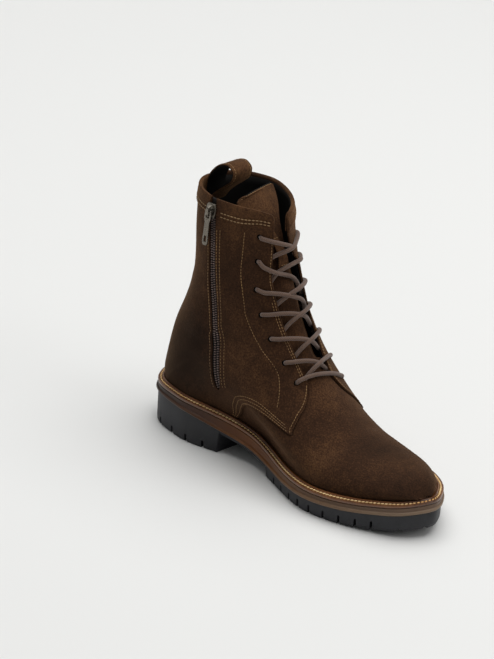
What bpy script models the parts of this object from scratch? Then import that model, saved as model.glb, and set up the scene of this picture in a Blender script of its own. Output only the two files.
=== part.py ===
# Lace-up ankle boot for the left foot: suede upper with a zip on the inner side,
# welted lug sole. Lengths here are in millimetres, and become metres when a mesh is made.
# x runs from the back of the heel to the toe, y to the outer (lateral) side, z up from the floor.
import math

import bmesh
import bpy
import numpy as np
from mathutils import Vector

# Driving sizes
LENGTH = 276.0
TREAD_TO_WELT = (34.3, 19.4, 29.8)      # height of the welt's top: heel, ball, toe
TOE_SPRING = 8.3
WELT_THICK = 2.5
MIDSOLE_LIP = 0.9
RUBBER_WAIST = 3.0
GAP = 0.3
FEATHER = 6.5                           # upper stands this far inside the welt's edge
WALL = 1.6                              # leather and lining of the vamp
QUARTER_STEP = 0.8                      # quarters lie this much higher than the vamp
BAND_STEP = 1.3                         # folded collar band
BAND_HIGH = 12.0
EYELET = 4.2
LACE = 3.2
ZIP_WIDE = 4.2
STRAP_WIDE = 19.0
INSOLE_THICK = 2.4

# Outline of the welt's outer edge, seen from above
OUTLINE = (
    # x, y
    (0.0, 0.0),         # heel back
    (12.0, 26.0),
    (44.0, 37.5),       # heel, outer side
    (114.5, 38.0),      # waist, outer side
    (180.0, 50.0),      # ball, outer side
    (239.0, 38.0),
    (264.5, 17.0),
    (276.0, -4.5),      # tip
    (266.5, -23.0),
    (242.0, -37.0),
    (195.5, -49.0),     # ball, inner side
    (113.0, -28.0),     # waist, inner side
    (44.5, -37.0),      # heel, inner side
    (12.0, -26.0),
)

# Thickness of the midsole along the shoe
MIDSOLE = (
    # x, thick
    (0.0, 5.5),
    (55.0, 7.0),
    (90.0, 9.5),
    (125.0, 9.0),
    (165.0, 6.8),
    (276.0, 6.0),
)

# Sections of the upper, each from its front or top line to the sole or the back seam.
# path: mm along the sole's edge from the toe, then up the back. front_x, front_z: its top line.
# ridge: y of that line. out, inn: half widths. full: where the section is widest. round: power.
SECTIONS = (
    # path, front_x, front_z, ridge, out, inn, full, round
    (0.0, 269.0, 30.0, -4.5, 4.0, 10.0, 0.90, 2.0),
    (10.0, 262.0, 41.0, -4.5, 19.0, 22.0, 0.90, 2.0),
    (28.0, 243.0, 45.0, -4.5, 32.5, 30.0, 0.90, 2.0),
    (55.0, 215.5, 47.5, -5.0, 43.0, 36.0, 0.90, 2.0),
    (88.0, 188.0, 55.0, -5.5, 49.5, 41.0, 0.85, 1.7),
    (125.0, 164.0, 72.5, -5.5, 50.5, 38.5, 0.75, 1.7),
    (170.0, 143.5, 96.5, -4.5, 47.5, 34.5, 0.70, 1.8),
    (225.0, 129.5, 120.5, -4.0, 42.5, 32.5, 0.70, 2.0),
    (263.0, 123.0, 137.5, -3.5, 38.5, 31.5, 0.65, 2.1),
    (303.0, 116.0, 151.0, -3.5, 39.0, 30.0, 0.55, 2.0),
    (363.0, 112.0, 169.5, -4.0, 39.0, 28.0, 0.55, 1.7),
    (426.0, 110.0, 195.0, -4.5, 37.5, 24.5, 0.65, 1.7),
)

# Line of the back seam
BACK = (
    # z, x
    (34.0, 6.3),
    (40.0, 5.6),
    (55.0, 8.0),
    (80.0, 15.0),
    (105.0, 24.0),
    (130.0, 31.5),
    (165.0, 29.5),
    (200.0, 29.0),
)
BACK_DEEP = 42.0
BACK_ROUND = 2.2

# Front edge of a quarter, and its lower edge over the vamp's wing, from the ridge outwards
QUARTER_EDGE = (
    # u, s
    (0.140, 0.487),
    (0.190, 0.466),
    (0.250, 0.452),
    (0.310, 0.446),
    (0.370, 0.440),
    (0.420, 0.436),
    (0.455, 0.434),     # tip
    (0.485, 0.474),
    (0.525, 0.515),
    (0.580, 0.545),
    (0.680, 0.556),
    (0.790, 0.560),
    (0.890, 0.562),
    (1.000, 0.562),
)

# Edge of the facing beside the tongue
FACING = (
    # s, u
    (0.485, 0.140),
    (0.530, 0.145),
    (0.600, 0.160),
    (0.680, 0.160),
    (0.780, 0.145),
    (0.880, 0.140),
    (0.940, 0.140),
    (1.000, 0.135),
)

# Eyelets, lowest first
EYELETS = (
    # s, inner u, outer u
    (0.503, -0.213, 0.285),
    (0.553, -0.227, 0.265),
    (0.614, -0.240, 0.262),
    (0.696, -0.236, 0.258),
    (0.785, -0.230, 0.245),
    (0.875, -0.238, 0.245),
    (0.940, -0.246, 0.262),
)

# Side zip, seen from the side
ZIP = (
    # z, x
    (54.0, 85.0),
    (90.0, 77.5),
    (120.0, 72.0),
    (150.0, 67.5),
    (175.0, 64.0),
    (205.0, 60.5),
)

# Pull loop in its own plane, once round from the seam
LOOP = (
    # x, z
    (35.2, 180.0),
    (34.8, 188.0),
    (35.6, 197.5),
    (40.5, 206.0),
    (48.5, 212.6),
    (56.5, 214.0),
    (61.0, 210.5),
    (60.0, 204.5),
    (54.0, 198.5),
    (46.0, 192.0),
    (39.5, 185.5),
)

# Tongue: how far its sections lean back from the facings towards the top
TONGUE = (
    # step, s, lean, reach, thick
    (0.0, 0.465, 0.0, 0.115, 2.0),
    (1.0, 0.510, 0.0, 0.270, 2.0),
    (2.0, 0.570, 0.5, 0.300, 2.0),
    (3.0, 0.640, 1.0, 0.310, 2.0),
    (4.0, 0.720, 1.5, 0.310, 2.0),
    (5.0, 0.800, 2.5, 0.310, 2.2),
    (6.0, 0.870, 5.0, 0.315, 2.2),
    (7.0, 0.930, 13.0, 0.330, 2.2),
    (8.0, 0.975, 24.0, 0.350, 2.2),
    (9.0, 1.000, 32.0, 0.360, 2.2),
)


def hermite(xs, ys, x):
    """Smooth curve through a table."""
    xs = np.asarray(xs, float)
    ys = np.asarray(ys, float)
    x = np.asarray(x, float)
    h = np.diff(xs)
    d = np.diff(ys) / h
    m = np.empty_like(ys)
    m[1:-1] = (d[:-1] * h[1:] + d[1:] * h[:-1]) / (h[:-1] + h[1:])
    m[0] = 1.5 * d[0] - 0.5 * m[1]
    m[-1] = 1.5 * d[-1] - 0.5 * m[-2]
    i = np.clip(np.searchsorted(xs, x, side="right") - 1, 0, len(h) - 1)
    t = np.clip((x - xs[i]) / h[i], 0, 1)
    a = (2 * t**3 - 3 * t**2 + 1) * ys[i] + (t**3 - 2 * t**2 + t) * h[i] * m[i]
    return a + (3 * t**2 - 2 * t**3) * ys[i + 1] + (t**3 - t**2) * h[i] * m[i + 1]


def table(rows, key, value, x):
    return hermite([r[key] for r in rows], [r[value] for r in rows], x)


def smooth(a, b, x):
    t = np.clip((np.asarray(x, float) - a) / (b - a), 0, 1)
    return t * t * (3 - 2 * t)


# Sole outline
def closed_curve(points, steps):
    out = []
    n = len(points)
    p = np.array(points, float)
    for i in range(n):
        p0, p1, p2, p3 = p[i - 1], p[i], p[(i + 1) % n], p[(i + 2) % n]
        d0 = np.linalg.norm(p1 - p0)
        d1 = np.linalg.norm(p2 - p1)
        d2 = np.linalg.norm(p3 - p2)
        m1 = ((p1 - p0) / d0 * d1 + (p2 - p1) / d1 * d0) / (d0 + d1) * d1
        m2 = ((p2 - p1) / d1 * d2 + (p3 - p2) / d2 * d1) / (d1 + d2) * d1
        for k in range(steps):
            t = k / steps
            a = (2 * t**3 - 3 * t**2 + 1) * p1 + (t**3 - 2 * t**2 + t) * m1
            out.append(a + (3 * t**2 - 2 * t**3) * p2 + (t**3 - t**2) * m2)
    return np.array(out)


def inset_sides(inset):
    """Outer and inner side of the sole's outline, each from the heel to the toe."""
    c = closed_curve(OUTLINE, 30)
    t = np.roll(c, -1, 0) - np.roll(c, 1, 0)
    t /= np.linalg.norm(t, axis=1)[:, None]
    c = c + np.stack([t[:, 1], -t[:, 0]], 1) * inset
    heel = c[:, 0].argmin()
    c = np.roll(c, -heel, 0)
    tip = c[:, 0].argmax()
    return c[:tip + 1], np.vstack([c[tip:], c[:1]])[::-1]


SIDES = {}


def side_y(x, inset, outer):
    if inset not in SIDES:
        SIDES[inset] = inset_sides(inset)
    side = SIDES[inset][0 if outer else 1]
    return np.interp(x, side[:, 0], side[:, 1])


def x_range(inset):
    side_y(0, inset, True)
    side = SIDES[inset][0]
    return side[0, 0], side[-1, 0]


def welt_top(x):
    heel, ball, toe = TREAD_TO_WELT
    z = heel + (ball - heel) * smooth(50, 165, x)
    return z + (toe - ball) * np.clip((np.asarray(x, float) - 195) / (LENGTH - 195), 0, 1)**1.8


def welt_bottom(x):
    return welt_top(x) - WELT_THICK


def midsole_top(x):
    return welt_bottom(x) - GAP


def midsole_bottom(x):
    return midsole_top(x) - table(MIDSOLE, 0, 1, x)


def outsole_top(x):
    return midsole_bottom(x) - GAP


HEEL_BREAST = 83.5
FORE_START = 134.0


def tread(x):
    """Underside of the outsole: heel, raised waist, forefoot with its toe spring."""
    x = np.asarray(x, float)
    waist = outsole_top(x) - RUBBER_WAIST
    ground = TOE_SPRING * np.clip((x - 205) / (LENGTH - 205), 0, 1)**1.8
    return np.where((x > HEEL_BREAST) & (x < FORE_START), waist, ground)


# Part frame: origin under the middle of the bounding box
def frame_centre():
    outer, inner = inset_sides(-MIDSOLE_LIP)
    xs = np.concatenate([outer[:, 0], inner[:, 0]])
    ys = np.concatenate([outer[:, 1], inner[:, 1]])
    return (xs.min() + xs.max()) / 2, (ys.min() + ys.max()) / 2


CENTRE_X, CENTRE_Y = frame_centre()


def metres(p):
    return ((p[0] - CENTRE_X) / 1000, (p[1] - CENTRE_Y) / 1000, p[2] / 1000)


def new_object(name, verts, faces, material, smooth_angle=None, origin=None):
    mesh = bpy.data.meshes.new(name)
    points = [Vector(metres(v)) for v in verts]
    at = Vector(metres(origin)) if origin is not None else Vector((0, 0, 0))
    mesh.from_pydata([p - at for p in points], [], [list(f) for f in faces])
    bm = bmesh.new()
    bm.from_mesh(mesh)
    bmesh.ops.remove_doubles(bm, verts=bm.verts, dist=1e-7)
    bmesh.ops.recalc_face_normals(bm, faces=bm.faces)
    bm.to_mesh(mesh)
    bm.free()
    obj = bpy.data.objects.new(name, mesh)
    obj.location = at
    bpy.context.scene.collection.objects.link(obj)
    if material is not None:
        mesh.materials.append(material)
    if smooth_angle is not None:
        mesh.shade_smooth()
        mesh.set_sharp_from_angle(angle=math.radians(smooth_angle))
    return obj


def cutter(name, verts, faces):
    obj = new_object(name, verts, faces, None)
    obj.hide_render = True
    obj.display_type = "WIRE"
    return obj


def boolean(obj, other, operation):
    mod = obj.modifiers.new(other.name, "BOOLEAN")
    mod.operation = operation
    mod.object = other
    mod.solver = "EXACT"


def principled(name, colour, roughness, metallic=0.0):
    mat = bpy.data.materials.new(name)
    mat.use_nodes = True
    node = mat.node_tree.nodes["Principled BSDF"]
    node.inputs["Base Color"].default_value = (*colour, 1)
    node.inputs["Roughness"].default_value = roughness
    node.inputs["Metallic"].default_value = metallic
    return mat


# Solids of the sole, stacked from copies of the outline
STATIONS = 40


def stations(inset, specials=()):
    lo, hi = x_range(inset)
    xs = [lo + (hi - lo) * (1 - math.cos(math.pi * k / STATIONS)) / 2 for k in range(STATIONS + 1)]
    used = set()
    for s in specials:
        k = min((k for k in range(1, STATIONS) if k not in used), key=lambda i: abs(xs[i] - s))
        xs[k] = s
        used.add(k)
    return sorted(xs)


def ring(inset, height, specials=()):
    xs = stations(inset, specials)
    out = [(xs[0], float(side_y(xs[0], inset, True)))]
    out += [(x, float(side_y(x, inset, True))) for x in xs[1:-1]]
    out += [(xs[-1], float(side_y(xs[-1], inset, True)))]
    out += [(x, float(side_y(x, inset, False))) for x in reversed(xs[1:-1])]
    return [(x, y, float(height(x))) for x, y in out]


def stack(levels, specials=(), hole=None):
    """Closed solid through rings, bottom first. With hole, rings of an inner edge follow."""
    verts = []
    faces = []
    rings = [ring(inset, height, specials) for inset, height in levels]
    n = len(rings[0])
    for r in rings:
        verts += r
    loop = list(range(len(rings)))
    if hole is not None:
        inner = [ring(inset, height, specials) for inset, height in hole]
        for r in reversed(inner):
            verts += r
        loop = list(range(len(rings) + len(inner)))
        loop.append(0)
    for a, b in zip(loop, loop[1:]):
        for k in range(n):
            faces.append((a * n + k, a * n + (k + 1) % n, b * n + (k + 1) % n, b * n + k))
    if hole is None:
        for base, flip in ((0, True), ((len(rings) - 1) * n, False)):
            for k in range(STATIONS):
                a, b = k, k + 1
                c, d = (n - b) % n, (n - a) % n
                face = [base + i for i in dict.fromkeys((a, b, c, d))]
                faces.append(tuple(reversed(face)) if flip else tuple(face))
    return verts, faces


def box_at(centre, along, size, z0, z1, taper=1.0):
    """Upright box: along is its direction on the ground, size its length and width."""
    a = np.array(along, float)
    a /= np.linalg.norm(a)
    b = np.array((-a[1], a[0]))
    verts = []
    for z, w in ((z0, 1.0), (z1, taper)):
        for i, j in ((-1, -1), (1, -1), (1, 1), (-1, 1)):
            p = np.array(centre) + a * size[0] / 2 * i + b * size[1] / 2 * j * w
            verts.append((p[0], p[1], z))
    faces = [(3, 2, 1, 0), (4, 5, 6, 7), (0, 1, 5, 4), (1, 2, 6, 5), (2, 3, 7, 6), (3, 0, 4, 7)]
    return verts, faces


def joined(parts):
    verts = []
    faces = []
    for v, f in parts:
        base = len(verts)
        verts += list(v)
        faces += [tuple(i + base for i in face) for face in f]
    return verts, faces


def edge_point(x, outer, inset):
    """Point on an outline and its direction towards the middle of the sole."""
    y = float(side_y(x, inset, outer))
    dy = float(side_y(x + 1, inset, outer) - side_y(x - 1, inset, outer)) / 2
    inward = np.array((dy, -1.0)) if outer else np.array((-dy, 1.0))
    return (x, y), inward / np.linalg.norm(inward)


# Slots between the lugs at the sole's edge: x, height, width
SIDE_SLOTS = (
    # x, high, wide
    (22.0, 6.0, 3.4),
    (38.5, 6.0, 3.4),
    (55.0, 6.0, 3.4),
    (71.0, 6.0, 3.0),
    (147.0, 6.0, 2.6),
    (159.0, 6.0, 2.6),
    (171.0, 6.0, 2.6),
    (182.5, 6.5, 2.6),
    (194.5, 6.5, 2.6),
    (207.5, 6.5, 2.6),
    (220.5, 6.8, 2.8),
    (233.0, 6.8, 2.8),
    (244.5, 6.8, 2.8),
)
TIP_SLOTS = (
    # x, y, high, wide
    (259.0, -23.0, 2.2, 5.0),
    (269.0, -9.0, 2.2, 5.0),
    (268.0, 7.0, 2.2, 5.0),
    (257.5, 20.0, 2.2, 5.0),
    (7.5, -13.0, 6.0, 3.4),
    (7.5, 13.0, 6.0, 3.4),
)


def side_slots():
    parts = []
    for x, high, wide in SIDE_SLOTS:
        for outer in (True, False):
            p, inward = edge_point(x, outer, 0.0)
            c = np.array(p) + inward * 4.5
            z = float(tread(c[0]))
            parts.append(box_at(c, inward, (15.0, wide), -3.0, z + high, 0.6))
    for x, y, high, wide in TIP_SLOTS:
        middle = np.array((225.0, -4.0)) if x > 140 else np.array((30.0, 0.0))
        inward = middle - np.array((x, y))
        inward /= np.linalg.norm(inward)
        c = np.array((x, y)) + inward * 1.5
        parts.append(box_at(c, inward, (16.0, wide), -3.0, float(tread(x)) + high, 0.6))
    return joined(parts)


def channel(x0, x1, outer_inset, wide, deep):
    """Groove that runs round inside the edge lugs."""
    rows = []
    n = 18
    for inset in (outer_inset, outer_inset + wide):
        lo, hi = x_range(inset)
        shift = inset - outer_inset
        lo = max(lo, x0 + shift)
        hi = min(hi, x1 - shift)
        xs = [lo + (hi - lo) * (1 - math.cos(math.pi * k / n)) / 2 for k in range(n + 1)]
        loop = [(x, float(side_y(x, inset, True))) for x in xs]
        loop += [(x, float(side_y(x, inset, False))) for x in reversed(xs)]
        rows.append(loop)
    m = len(rows[0])
    verts = []
    for loop, low in ((rows[0], True), (rows[0], False), (rows[1], False), (rows[1], True)):
        verts += [(x, y, -3.0 if low else float(tread(x)) + deep) for x, y in loop]
    faces = []
    for a in range(4):
        b = (a + 1) % 4
        for k in range(m):
            faces.append((a * m + k, a * m + (k + 1) % m, b * m + (k + 1) % m, b * m + k))
    return verts, faces


def cross_channels():
    parts = []
    for i, x in enumerate((156.0, 171.0, 186.0, 201.0, 216.0, 231.0, 246.0)):
        lean = 0.12 if i % 2 else -0.12
        y0 = float(side_y(x, 12.0, False))
        y1 = float(side_y(x, 12.0, True))
        parts.append(box_at((x, (y0 + y1) / 2), (lean, 1.0), (y1 - y0, 3.4), -3.3, float(tread(x)) + 3.5))
    for x in (27.0, 43.0, 59.0):
        parts.append(box_at((x, 0.3), (0.02, 1.0), (45.0, 3.4), -3.3, 3.5))
    return joined(parts)


# Surface of the upper
def back_x(z):
    return table(BACK, 0, 1, z)


def back_close(x, z):
    d = np.clip((x - back_x(z)) / BACK_DEEP, 0, 1)
    return np.clip(1 - (1 - d)**BACK_ROUND, 1e-9, 1)**(1 / BACK_ROUND)


FEATHER_HEEL, FEATHER_TOE = x_range(FEATHER)
SOLE_PATH = FEATHER_TOE - FEATHER_HEEL


def upper(s, u):
    """Point of the upper. s runs from the toe to the collar, u from the inner edge over the ridge."""
    s = np.asarray(s, float)
    u = np.asarray(u, float)
    s, u = np.broadcast_arrays(s, u)
    k = s * (len(SECTIONS) - 1)
    idx = range(len(SECTIONS))
    path, fx, fz, ridge, out, inn, full, power = [
        hermite(idx, [r[c] for r in SECTIONS], k) for c in range(8)]
    path = path / 263.0 * SOLE_PATH * (path < 263.0) + (path - 263.0 + SOLE_PATH) * (path >= 263.0)
    ex = np.maximum(FEATHER_TOE - path, FEATHER_HEEL)
    ez = welt_top(ex) + np.maximum(path - SOLE_PATH, 0) + GAP
    ex = np.where(path > SOLE_PATH, back_x(ez), ex)
    v = np.sin(np.pi / 2 * np.abs(u))**2
    x = fx + (ex - fx) * v
    z = fz + (ez - fz) * v
    outer = u > 0
    wide = np.where(outer, out, inn)
    t = np.clip(v / full, 0, 1)
    arch = np.clip(1 - (1 - t)**power, 1e-12, 1)**(1 / power)
    fx2 = np.maximum(ex, FEATHER_HEEL + 10)
    close = back_close(fx2, welt_top(fx2))
    foot = np.where(outer, side_y(fx2, FEATHER, True) / close - ridge,
                    ridge - side_y(fx2, FEATHER, False) / close)
    on_back = smooth(SOLE_PATH - 5, SOLE_PATH + 45, path)
    foot = foot * (1 - on_back) + wide * on_back
    m = smooth(0.5, 1.0, v)
    y = arch * (wide * (1 - m) + foot * m)
    return np.stack([x, np.where(outer, ridge + y, ridge - y) * back_close(x, z), z], -1)


def normal(s, u):
    e = 0.004
    ds = upper(np.minimum(np.asarray(s) + e, 1), u) - upper(np.maximum(np.asarray(s) - e, 0.002), u)
    du = upper(s, np.clip(np.asarray(u) + e, -1, 1)) - upper(s, np.clip(np.asarray(u) - e, -1, 1))
    n = np.cross(du, ds)
    return n / (np.linalg.norm(n, axis=-1, keepdims=True) + 1e-12)


def over(s, u, height):
    return upper(s, u) + normal(s, u) * height


def side_point(x, z, sign):
    """Place on the upper of a point given by its side view."""
    s = np.linspace(0.1, 1.0, 400)
    k = s * (len(SECTIONS) - 1)
    idx = range(len(SECTIONS))
    front = upper(s, 0 * s)
    end = upper(s, 0 * s + sign)
    c = (end[:, 0] - front[:, 0]) * (z - front[:, 2]) - (end[:, 2] - front[:, 2]) * (x - front[:, 0])
    hits = np.nonzero(c[:-1] * c[1:] <= 0)[0]
    i = hits[-1] if len(hits) else int(np.abs(c).argmin())
    f = c[i] / (c[i] - c[min(i + 1, 399)] + 1e-12) if len(hits) else 0.0
    st = s[i] + (s[1] - s[0]) * f
    fr = upper(st, 0.0)
    en = upper(st, float(sign))
    v = ((x - fr[0]) * (en[0] - fr[0]) + (z - fr[2]) * (en[2] - fr[2]))
    v /= (en[0] - fr[0])**2 + (en[2] - fr[2])**2
    return float(st), sign * 2 / math.pi * math.asin(math.sqrt(min(max(float(v), 0), 1)))


def quarter_edge(u):
    return table(QUARTER_EDGE, 0, 1, np.maximum(np.abs(u), QUARTER_EDGE[0][0]))


def facing_edge(s):
    return table(FACING, 0, 1, s)


def band_edge(u):
    """s where the collar band starts, BAND_HIGH below the rim."""
    v = np.sin(np.pi / 2 * np.abs(u))**2
    return 1 - BAND_HIGH / (len(SECTIONS) - 1) / (25.5 + 37.5 * v)


def rim(u):
    return 1 - 0.016 * (1 - smooth(0.0, 0.10, np.abs(u) - 0.135))


SIDE_COLUMNS = [r[0] for r in QUARTER_EDGE]
MIDDLE_COLUMNS = [-0.07, 0.0, 0.07]
VAMP_ROWS = (0.0, 0.05, 0.11, 0.18, 0.26, 0.35, 0.45, 0.56, 0.66, 0.76, 0.85, 0.93, 1.0)
QUARTER_ROWS = (0.0, 0.08, 0.16, 0.24, 0.32, None, 0.46, 0.54, 0.65, 0.77, 0.89, 1.0)
CORNER_ROW = QUARTER_ROWS.index(None)   # row that meets the back of the heel
BAND_ROWS = (0.5, 1.0)


def upper_solid():
    """Hollow upper: vamp, raised quarters and collar band as one wall, open below."""
    cols = [-u for u in reversed(SIDE_COLUMNS)] + MIDDLE_COLUMNS + SIDE_COLUMNS
    n = len(cols)
    side = len(SIDE_COLUMNS)
    base = []           # base points
    ids = {}

    def put(key, s, u):
        ids[key] = len(base)
        base.append((float(s), float(u)))

    put("pole", 0.0, 0.0)
    corner = 8 / 11
    grid = []
    for r, f in enumerate(VAMP_ROWS):
        row = []
        for j, u in enumerate(cols):
            if r == 0:
                row.append(ids["pole"])
                continue
            put((r, j), quarter_edge(u) * f, u)
            row.append(ids[(r, j)])
        grid.append(row)
    last = len(VAMP_ROWS) - 1
    for r, f in enumerate(QUARTER_ROWS[1:] + BAND_ROWS):
        band = r >= len(QUARTER_ROWS) - 1
        row = []
        for j, u0 in enumerate(cols):
            if side <= j < n - side:
                row.append(None)
                continue
            start = float(quarter_edge(u0))
            end = float(band_edge(u0))
            if band:
                s = end + (float(rim(u0)) - end) * f
            elif f is None:
                f4 = (corner - 0.562) / (float(band_edge(1.0)) - 0.562)
                s = start + (end - start) * f4
            else:
                s = start + (end - start) * f
            first = SIDE_COLUMNS[0]
            edge = float(facing_edge(s))
            u = math.copysign(edge + (abs(u0) - first) * (1 - edge) / (1 - first), u0)
            closed = r + 1 >= CORNER_ROW and abs(u0) > 0.999
            if closed and j == n - 1:
                row.append(row[0])
                continue
            put((last + 1 + r, j), s, u)
            row.append(ids[(last + 1 + r, j)])
        grid.append(row)
    su = np.array(base)
    points = upper(su[:, 0], su[:, 1])
    for row in grid[last + CORNER_ROW:]:
        points[row[0], 1] = 0.0
    faces = []
    kinds = []
    for r in range(len(grid) - 1):
        kind = 0 if r < last else (1 if r < last + len(QUARTER_ROWS) - 1 else 2)
        for j in range(n - 1):
            quad = [grid[r][j], grid[r][j + 1], grid[r + 1][j + 1], grid[r + 1][j]]
            if None in quad:
                continue
            face = list(dict.fromkeys(quad))
            if len(face) > 2:
                faces.append(face)
                kinds.append(kind)
    # normals of the base grid
    normals = np.zeros_like(points)
    for face in faces:
        p = points[face]
        c = np.zeros(3)
        for i in range(1, len(face) - 1):
            c += np.cross(p[i] - p[0], p[i + 1] - p[0])
        c /= np.linalg.norm(c) + 1e-9
        for i in face:
            normals[i] += c
    centre = np.array((120.0, 0.0, 60.0))
    if normals[ids[(5, n // 2)]][2] < 0:
        normals = -normals
    normals /= np.linalg.norm(normals, axis=1)[:, None] + 1e-9
    # heights of the outer surface by region; points on a step get two
    heights = (0.0, QUARTER_STEP, BAND_STEP)
    outer_verts = []
    outer_of = {}
    inner_of = []

    def outer_vertex(i, kind):
        if (i, kind) not in outer_of:
            h = heights[kind]
            n_i = normals[i].copy()
            p = points[i] + n_i * h
            if on_feather[i]:
                flat = n_i.copy()
                flat[2] = 0
                flat /= np.linalg.norm(flat) + 1e-9
                p = points[i] + flat * h
                p[2] = float(welt_top(p[0])) + GAP
            outer_of[(i, kind)] = len(outer_verts)
            outer_verts.append(p)
            inner_of.append(i)
        return outer_of[(i, kind)]

    on_feather = np.zeros(len(points), bool)
    on_feather[ids["pole"]] = True
    for r, row in enumerate(grid):
        if r > 0 and r <= last + CORNER_ROW:
            on_feather[row[0]] = True
            on_feather[row[-1]] = True
    inner_points = points - normals * WALL
    for i in np.nonzero(on_feather)[0]:
        flat = normals[i].copy()
        if i == ids["pole"]:
            flat = np.array((1.0, 0.0, 0.0))
        flat[2] = 0
        flat /= np.linalg.norm(flat)
        p = points[i] - flat * WALL
        p[2] = float(welt_top(p[0])) + GAP
        inner_points[i] = p
    out_faces = []
    for face, kind in zip(faces, kinds):
        out_faces.append([outer_vertex(i, kind) for i in face])
    # step faces where two regions share an edge
    edges = {}
    for face, kind in zip(faces, kinds):
        for a, b in zip(face, face[1:] + face[:1]):
            edges.setdefault(frozenset((a, b)), []).append((a, b, kind))
    steps = []
    for pair in edges.values():
        if len(pair) == 2 and pair[0][2] != pair[1][2]:
            (a, b, ka), (_, _, kb) = pair
            face = [outer_of[(b, ka)], outer_of[(a, ka)], outer_of[(a, kb)], outer_of[(b, kb)]]
            steps.append(face)
    total_outer = len(outer_verts)
    # inner surface and the rims between them
    verts = [tuple(p) for p in outer_verts] + [tuple(p) for p in inner_points]
    all_faces = [tuple(f) for f in out_faces] + [tuple(f) for f in steps]
    all_faces += [tuple(total_outer + i for i in reversed(face)) for face in faces]
    open_edges = {}
    for face in out_faces + steps:
        for a, b in zip(face, face[1:] + face[:1]):
            key = frozenset((a, b))
            open_edges[key] = open_edges.get(key, []) + [(a, b)]
    for pair in open_edges.values():
        if len(pair) == 1:
            a, b = pair[0]
            ia = total_outer + inner_of[a]
            ib = total_outer + inner_of[b]
            face = (b, a, ia) if ia == ib else (b, a, ia, ib)
            all_faces.append(face)
    return verts, all_faces


# Holes through the upper
def eyelet_cutters():
    parts = []
    sides = 10
    for s, inner, outer in EYELETS:
        for u in (inner, outer):
            c = upper(s, u)
            n = normal(s, u)
            a = np.cross(n, (0, 0, 1))
            a /= np.linalg.norm(a)
            b = np.cross(n, a)
            verts = []
            for h in (-6.0, 4.0):
                for k in range(sides):
                    t = 2 * math.pi * k / sides
                    verts.append(tuple(c + n * h + (a * math.cos(t) + b * math.sin(t)) * EYELET / 2))
            faces = [tuple(reversed(range(sides))), tuple(range(sides, 2 * sides))]
            for k in range(sides):
                faces.append((k, (k + 1) % sides, sides + (k + 1) % sides, sides + k))
            parts.append((verts, faces))
    return joined(parts)


def zip_frame(z):
    """Point on the zip's line, its outward direction, and its direction across."""
    x = float(table(ZIP, 0, 1, z))
    zc = min(z, 194.0)
    s, u = side_point(float(table(ZIP, 0, 1, zc)), zc, -1)
    p = upper(s, u)
    n = normal(s, u)
    n[2] = 0
    n /= np.linalg.norm(n)
    p = p + np.array((x - p[0], 0.0, z - p[2]))
    across = np.cross((0, 0, 1), n)
    return p, n, across / np.linalg.norm(across)


def zip_strip(zs, wide, low, high, bulge=0.0):
    """Strip along the zip between two heights over the upper's surface."""
    verts = []
    steps = len(zs) - 1
    for z in zs:
        p, n, c = zip_frame(z)
        row = [(-wide / 2, low), (wide / 2, low), (wide / 2, high), (0.0, high + bulge), (-wide / 2, high)]
        verts += [tuple(p + c * a + n * h) for a, h in row]
    faces = [tuple(range(4, -1, -1)), tuple(range(5 * steps, 5 * steps + 5))]
    for k in range(steps):
        for i in range(5):
            j = (i + 1) % 5
            faces.append((5 * k + i, 5 * k + j, 5 * k + 5 + j, 5 * k + 5 + i))
    return verts, faces


# Tongue, inside the facings
TONGUE_ACROSS = 10


def tongue_point(step, w, depth):
    """step along the tongue, w from -1 to 1 across, depth under its outer face."""
    s = table(TONGUE, 0, 1, step)
    lean = table(TONGUE, 0, 2, step)
    reach = table(TONGUE, 0, 3, step)
    u = w * reach
    inside = WALL + GAP + 0.35
    p = upper(s, u) - normal(s, u) * (inside + depth)
    top = smooth(6.0, 9.0, step)
    p[..., 0] -= lean * (1 - 0.72 * w * w)
    p[..., 1] = p[..., 1] * (1 - 0.10 * top)
    p[..., 2] += top * (6.5 - 7.0 * w * w)
    return p


def tongue_solid():
    rows = [r[0] for r in TONGUE]
    rows = sorted(set(rows + [5.5, 6.5, 7.5, 8.5]))
    ws = [-1 + 2 * k / TONGUE_ACROSS for k in range(TONGUE_ACROSS + 1)]
    verts = []
    m = len(ws)
    for side in (0, 1):
        for r in rows:
            thick = float(table(TONGUE, 0, 4, r))
            for w in ws:
                verts.append(tuple(tongue_point(float(r), w, side * thick)))
    n = len(rows)
    faces = []
    for i in range(n - 1):
        for j in range(m - 1):
            a = i * m + j
            faces.append((a, a + 1, a + m + 1, a + m))
            b = n * m + a
            faces.append((b + m, b + m + 1, b + 1, b))
    for i in range(n - 1):
        for j in (0, m - 1):
            a = i * m + j
            faces.append((a, a + m, n * m + a + m, n * m + a))
    for i in (0, n - 1):
        for j in range(m - 1):
            a = i * m + j
            faces.append((a, a + 1, n * m + a + 1, n * m + a))
    return verts, faces


# Laces
def tube(points, radius, sides=8):
    p = [np.array(q, float) for q in points]
    n = len(p)
    verts = []
    up = np.array((0.3, 0.2, 1.0))
    for i in range(n):
        t = p[min(i + 1, n - 1)] - p[max(i - 1, 0)]
        t /= np.linalg.norm(t)
        a = np.cross(t, up)
        a /= np.linalg.norm(a)
        b = np.cross(t, a)
        for k in range(sides):
            w = 2 * math.pi * k / sides
            verts.append(tuple(p[i] + (a * math.cos(w) + b * math.sin(w)) * radius))
    faces = [tuple(reversed(range(sides))), tuple(range(sides * (n - 1), sides * n))]
    for i in range(n - 1):
        for k in range(sides):
            j = (k + 1) % sides
            faces.append((i * sides + k, i * sides + j, (i + 1) * sides + j, (i + 1) * sides + k))
    return verts, faces


LACE_OVER = QUARTER_STEP + GAP + LACE / 2 + 0.35


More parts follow.
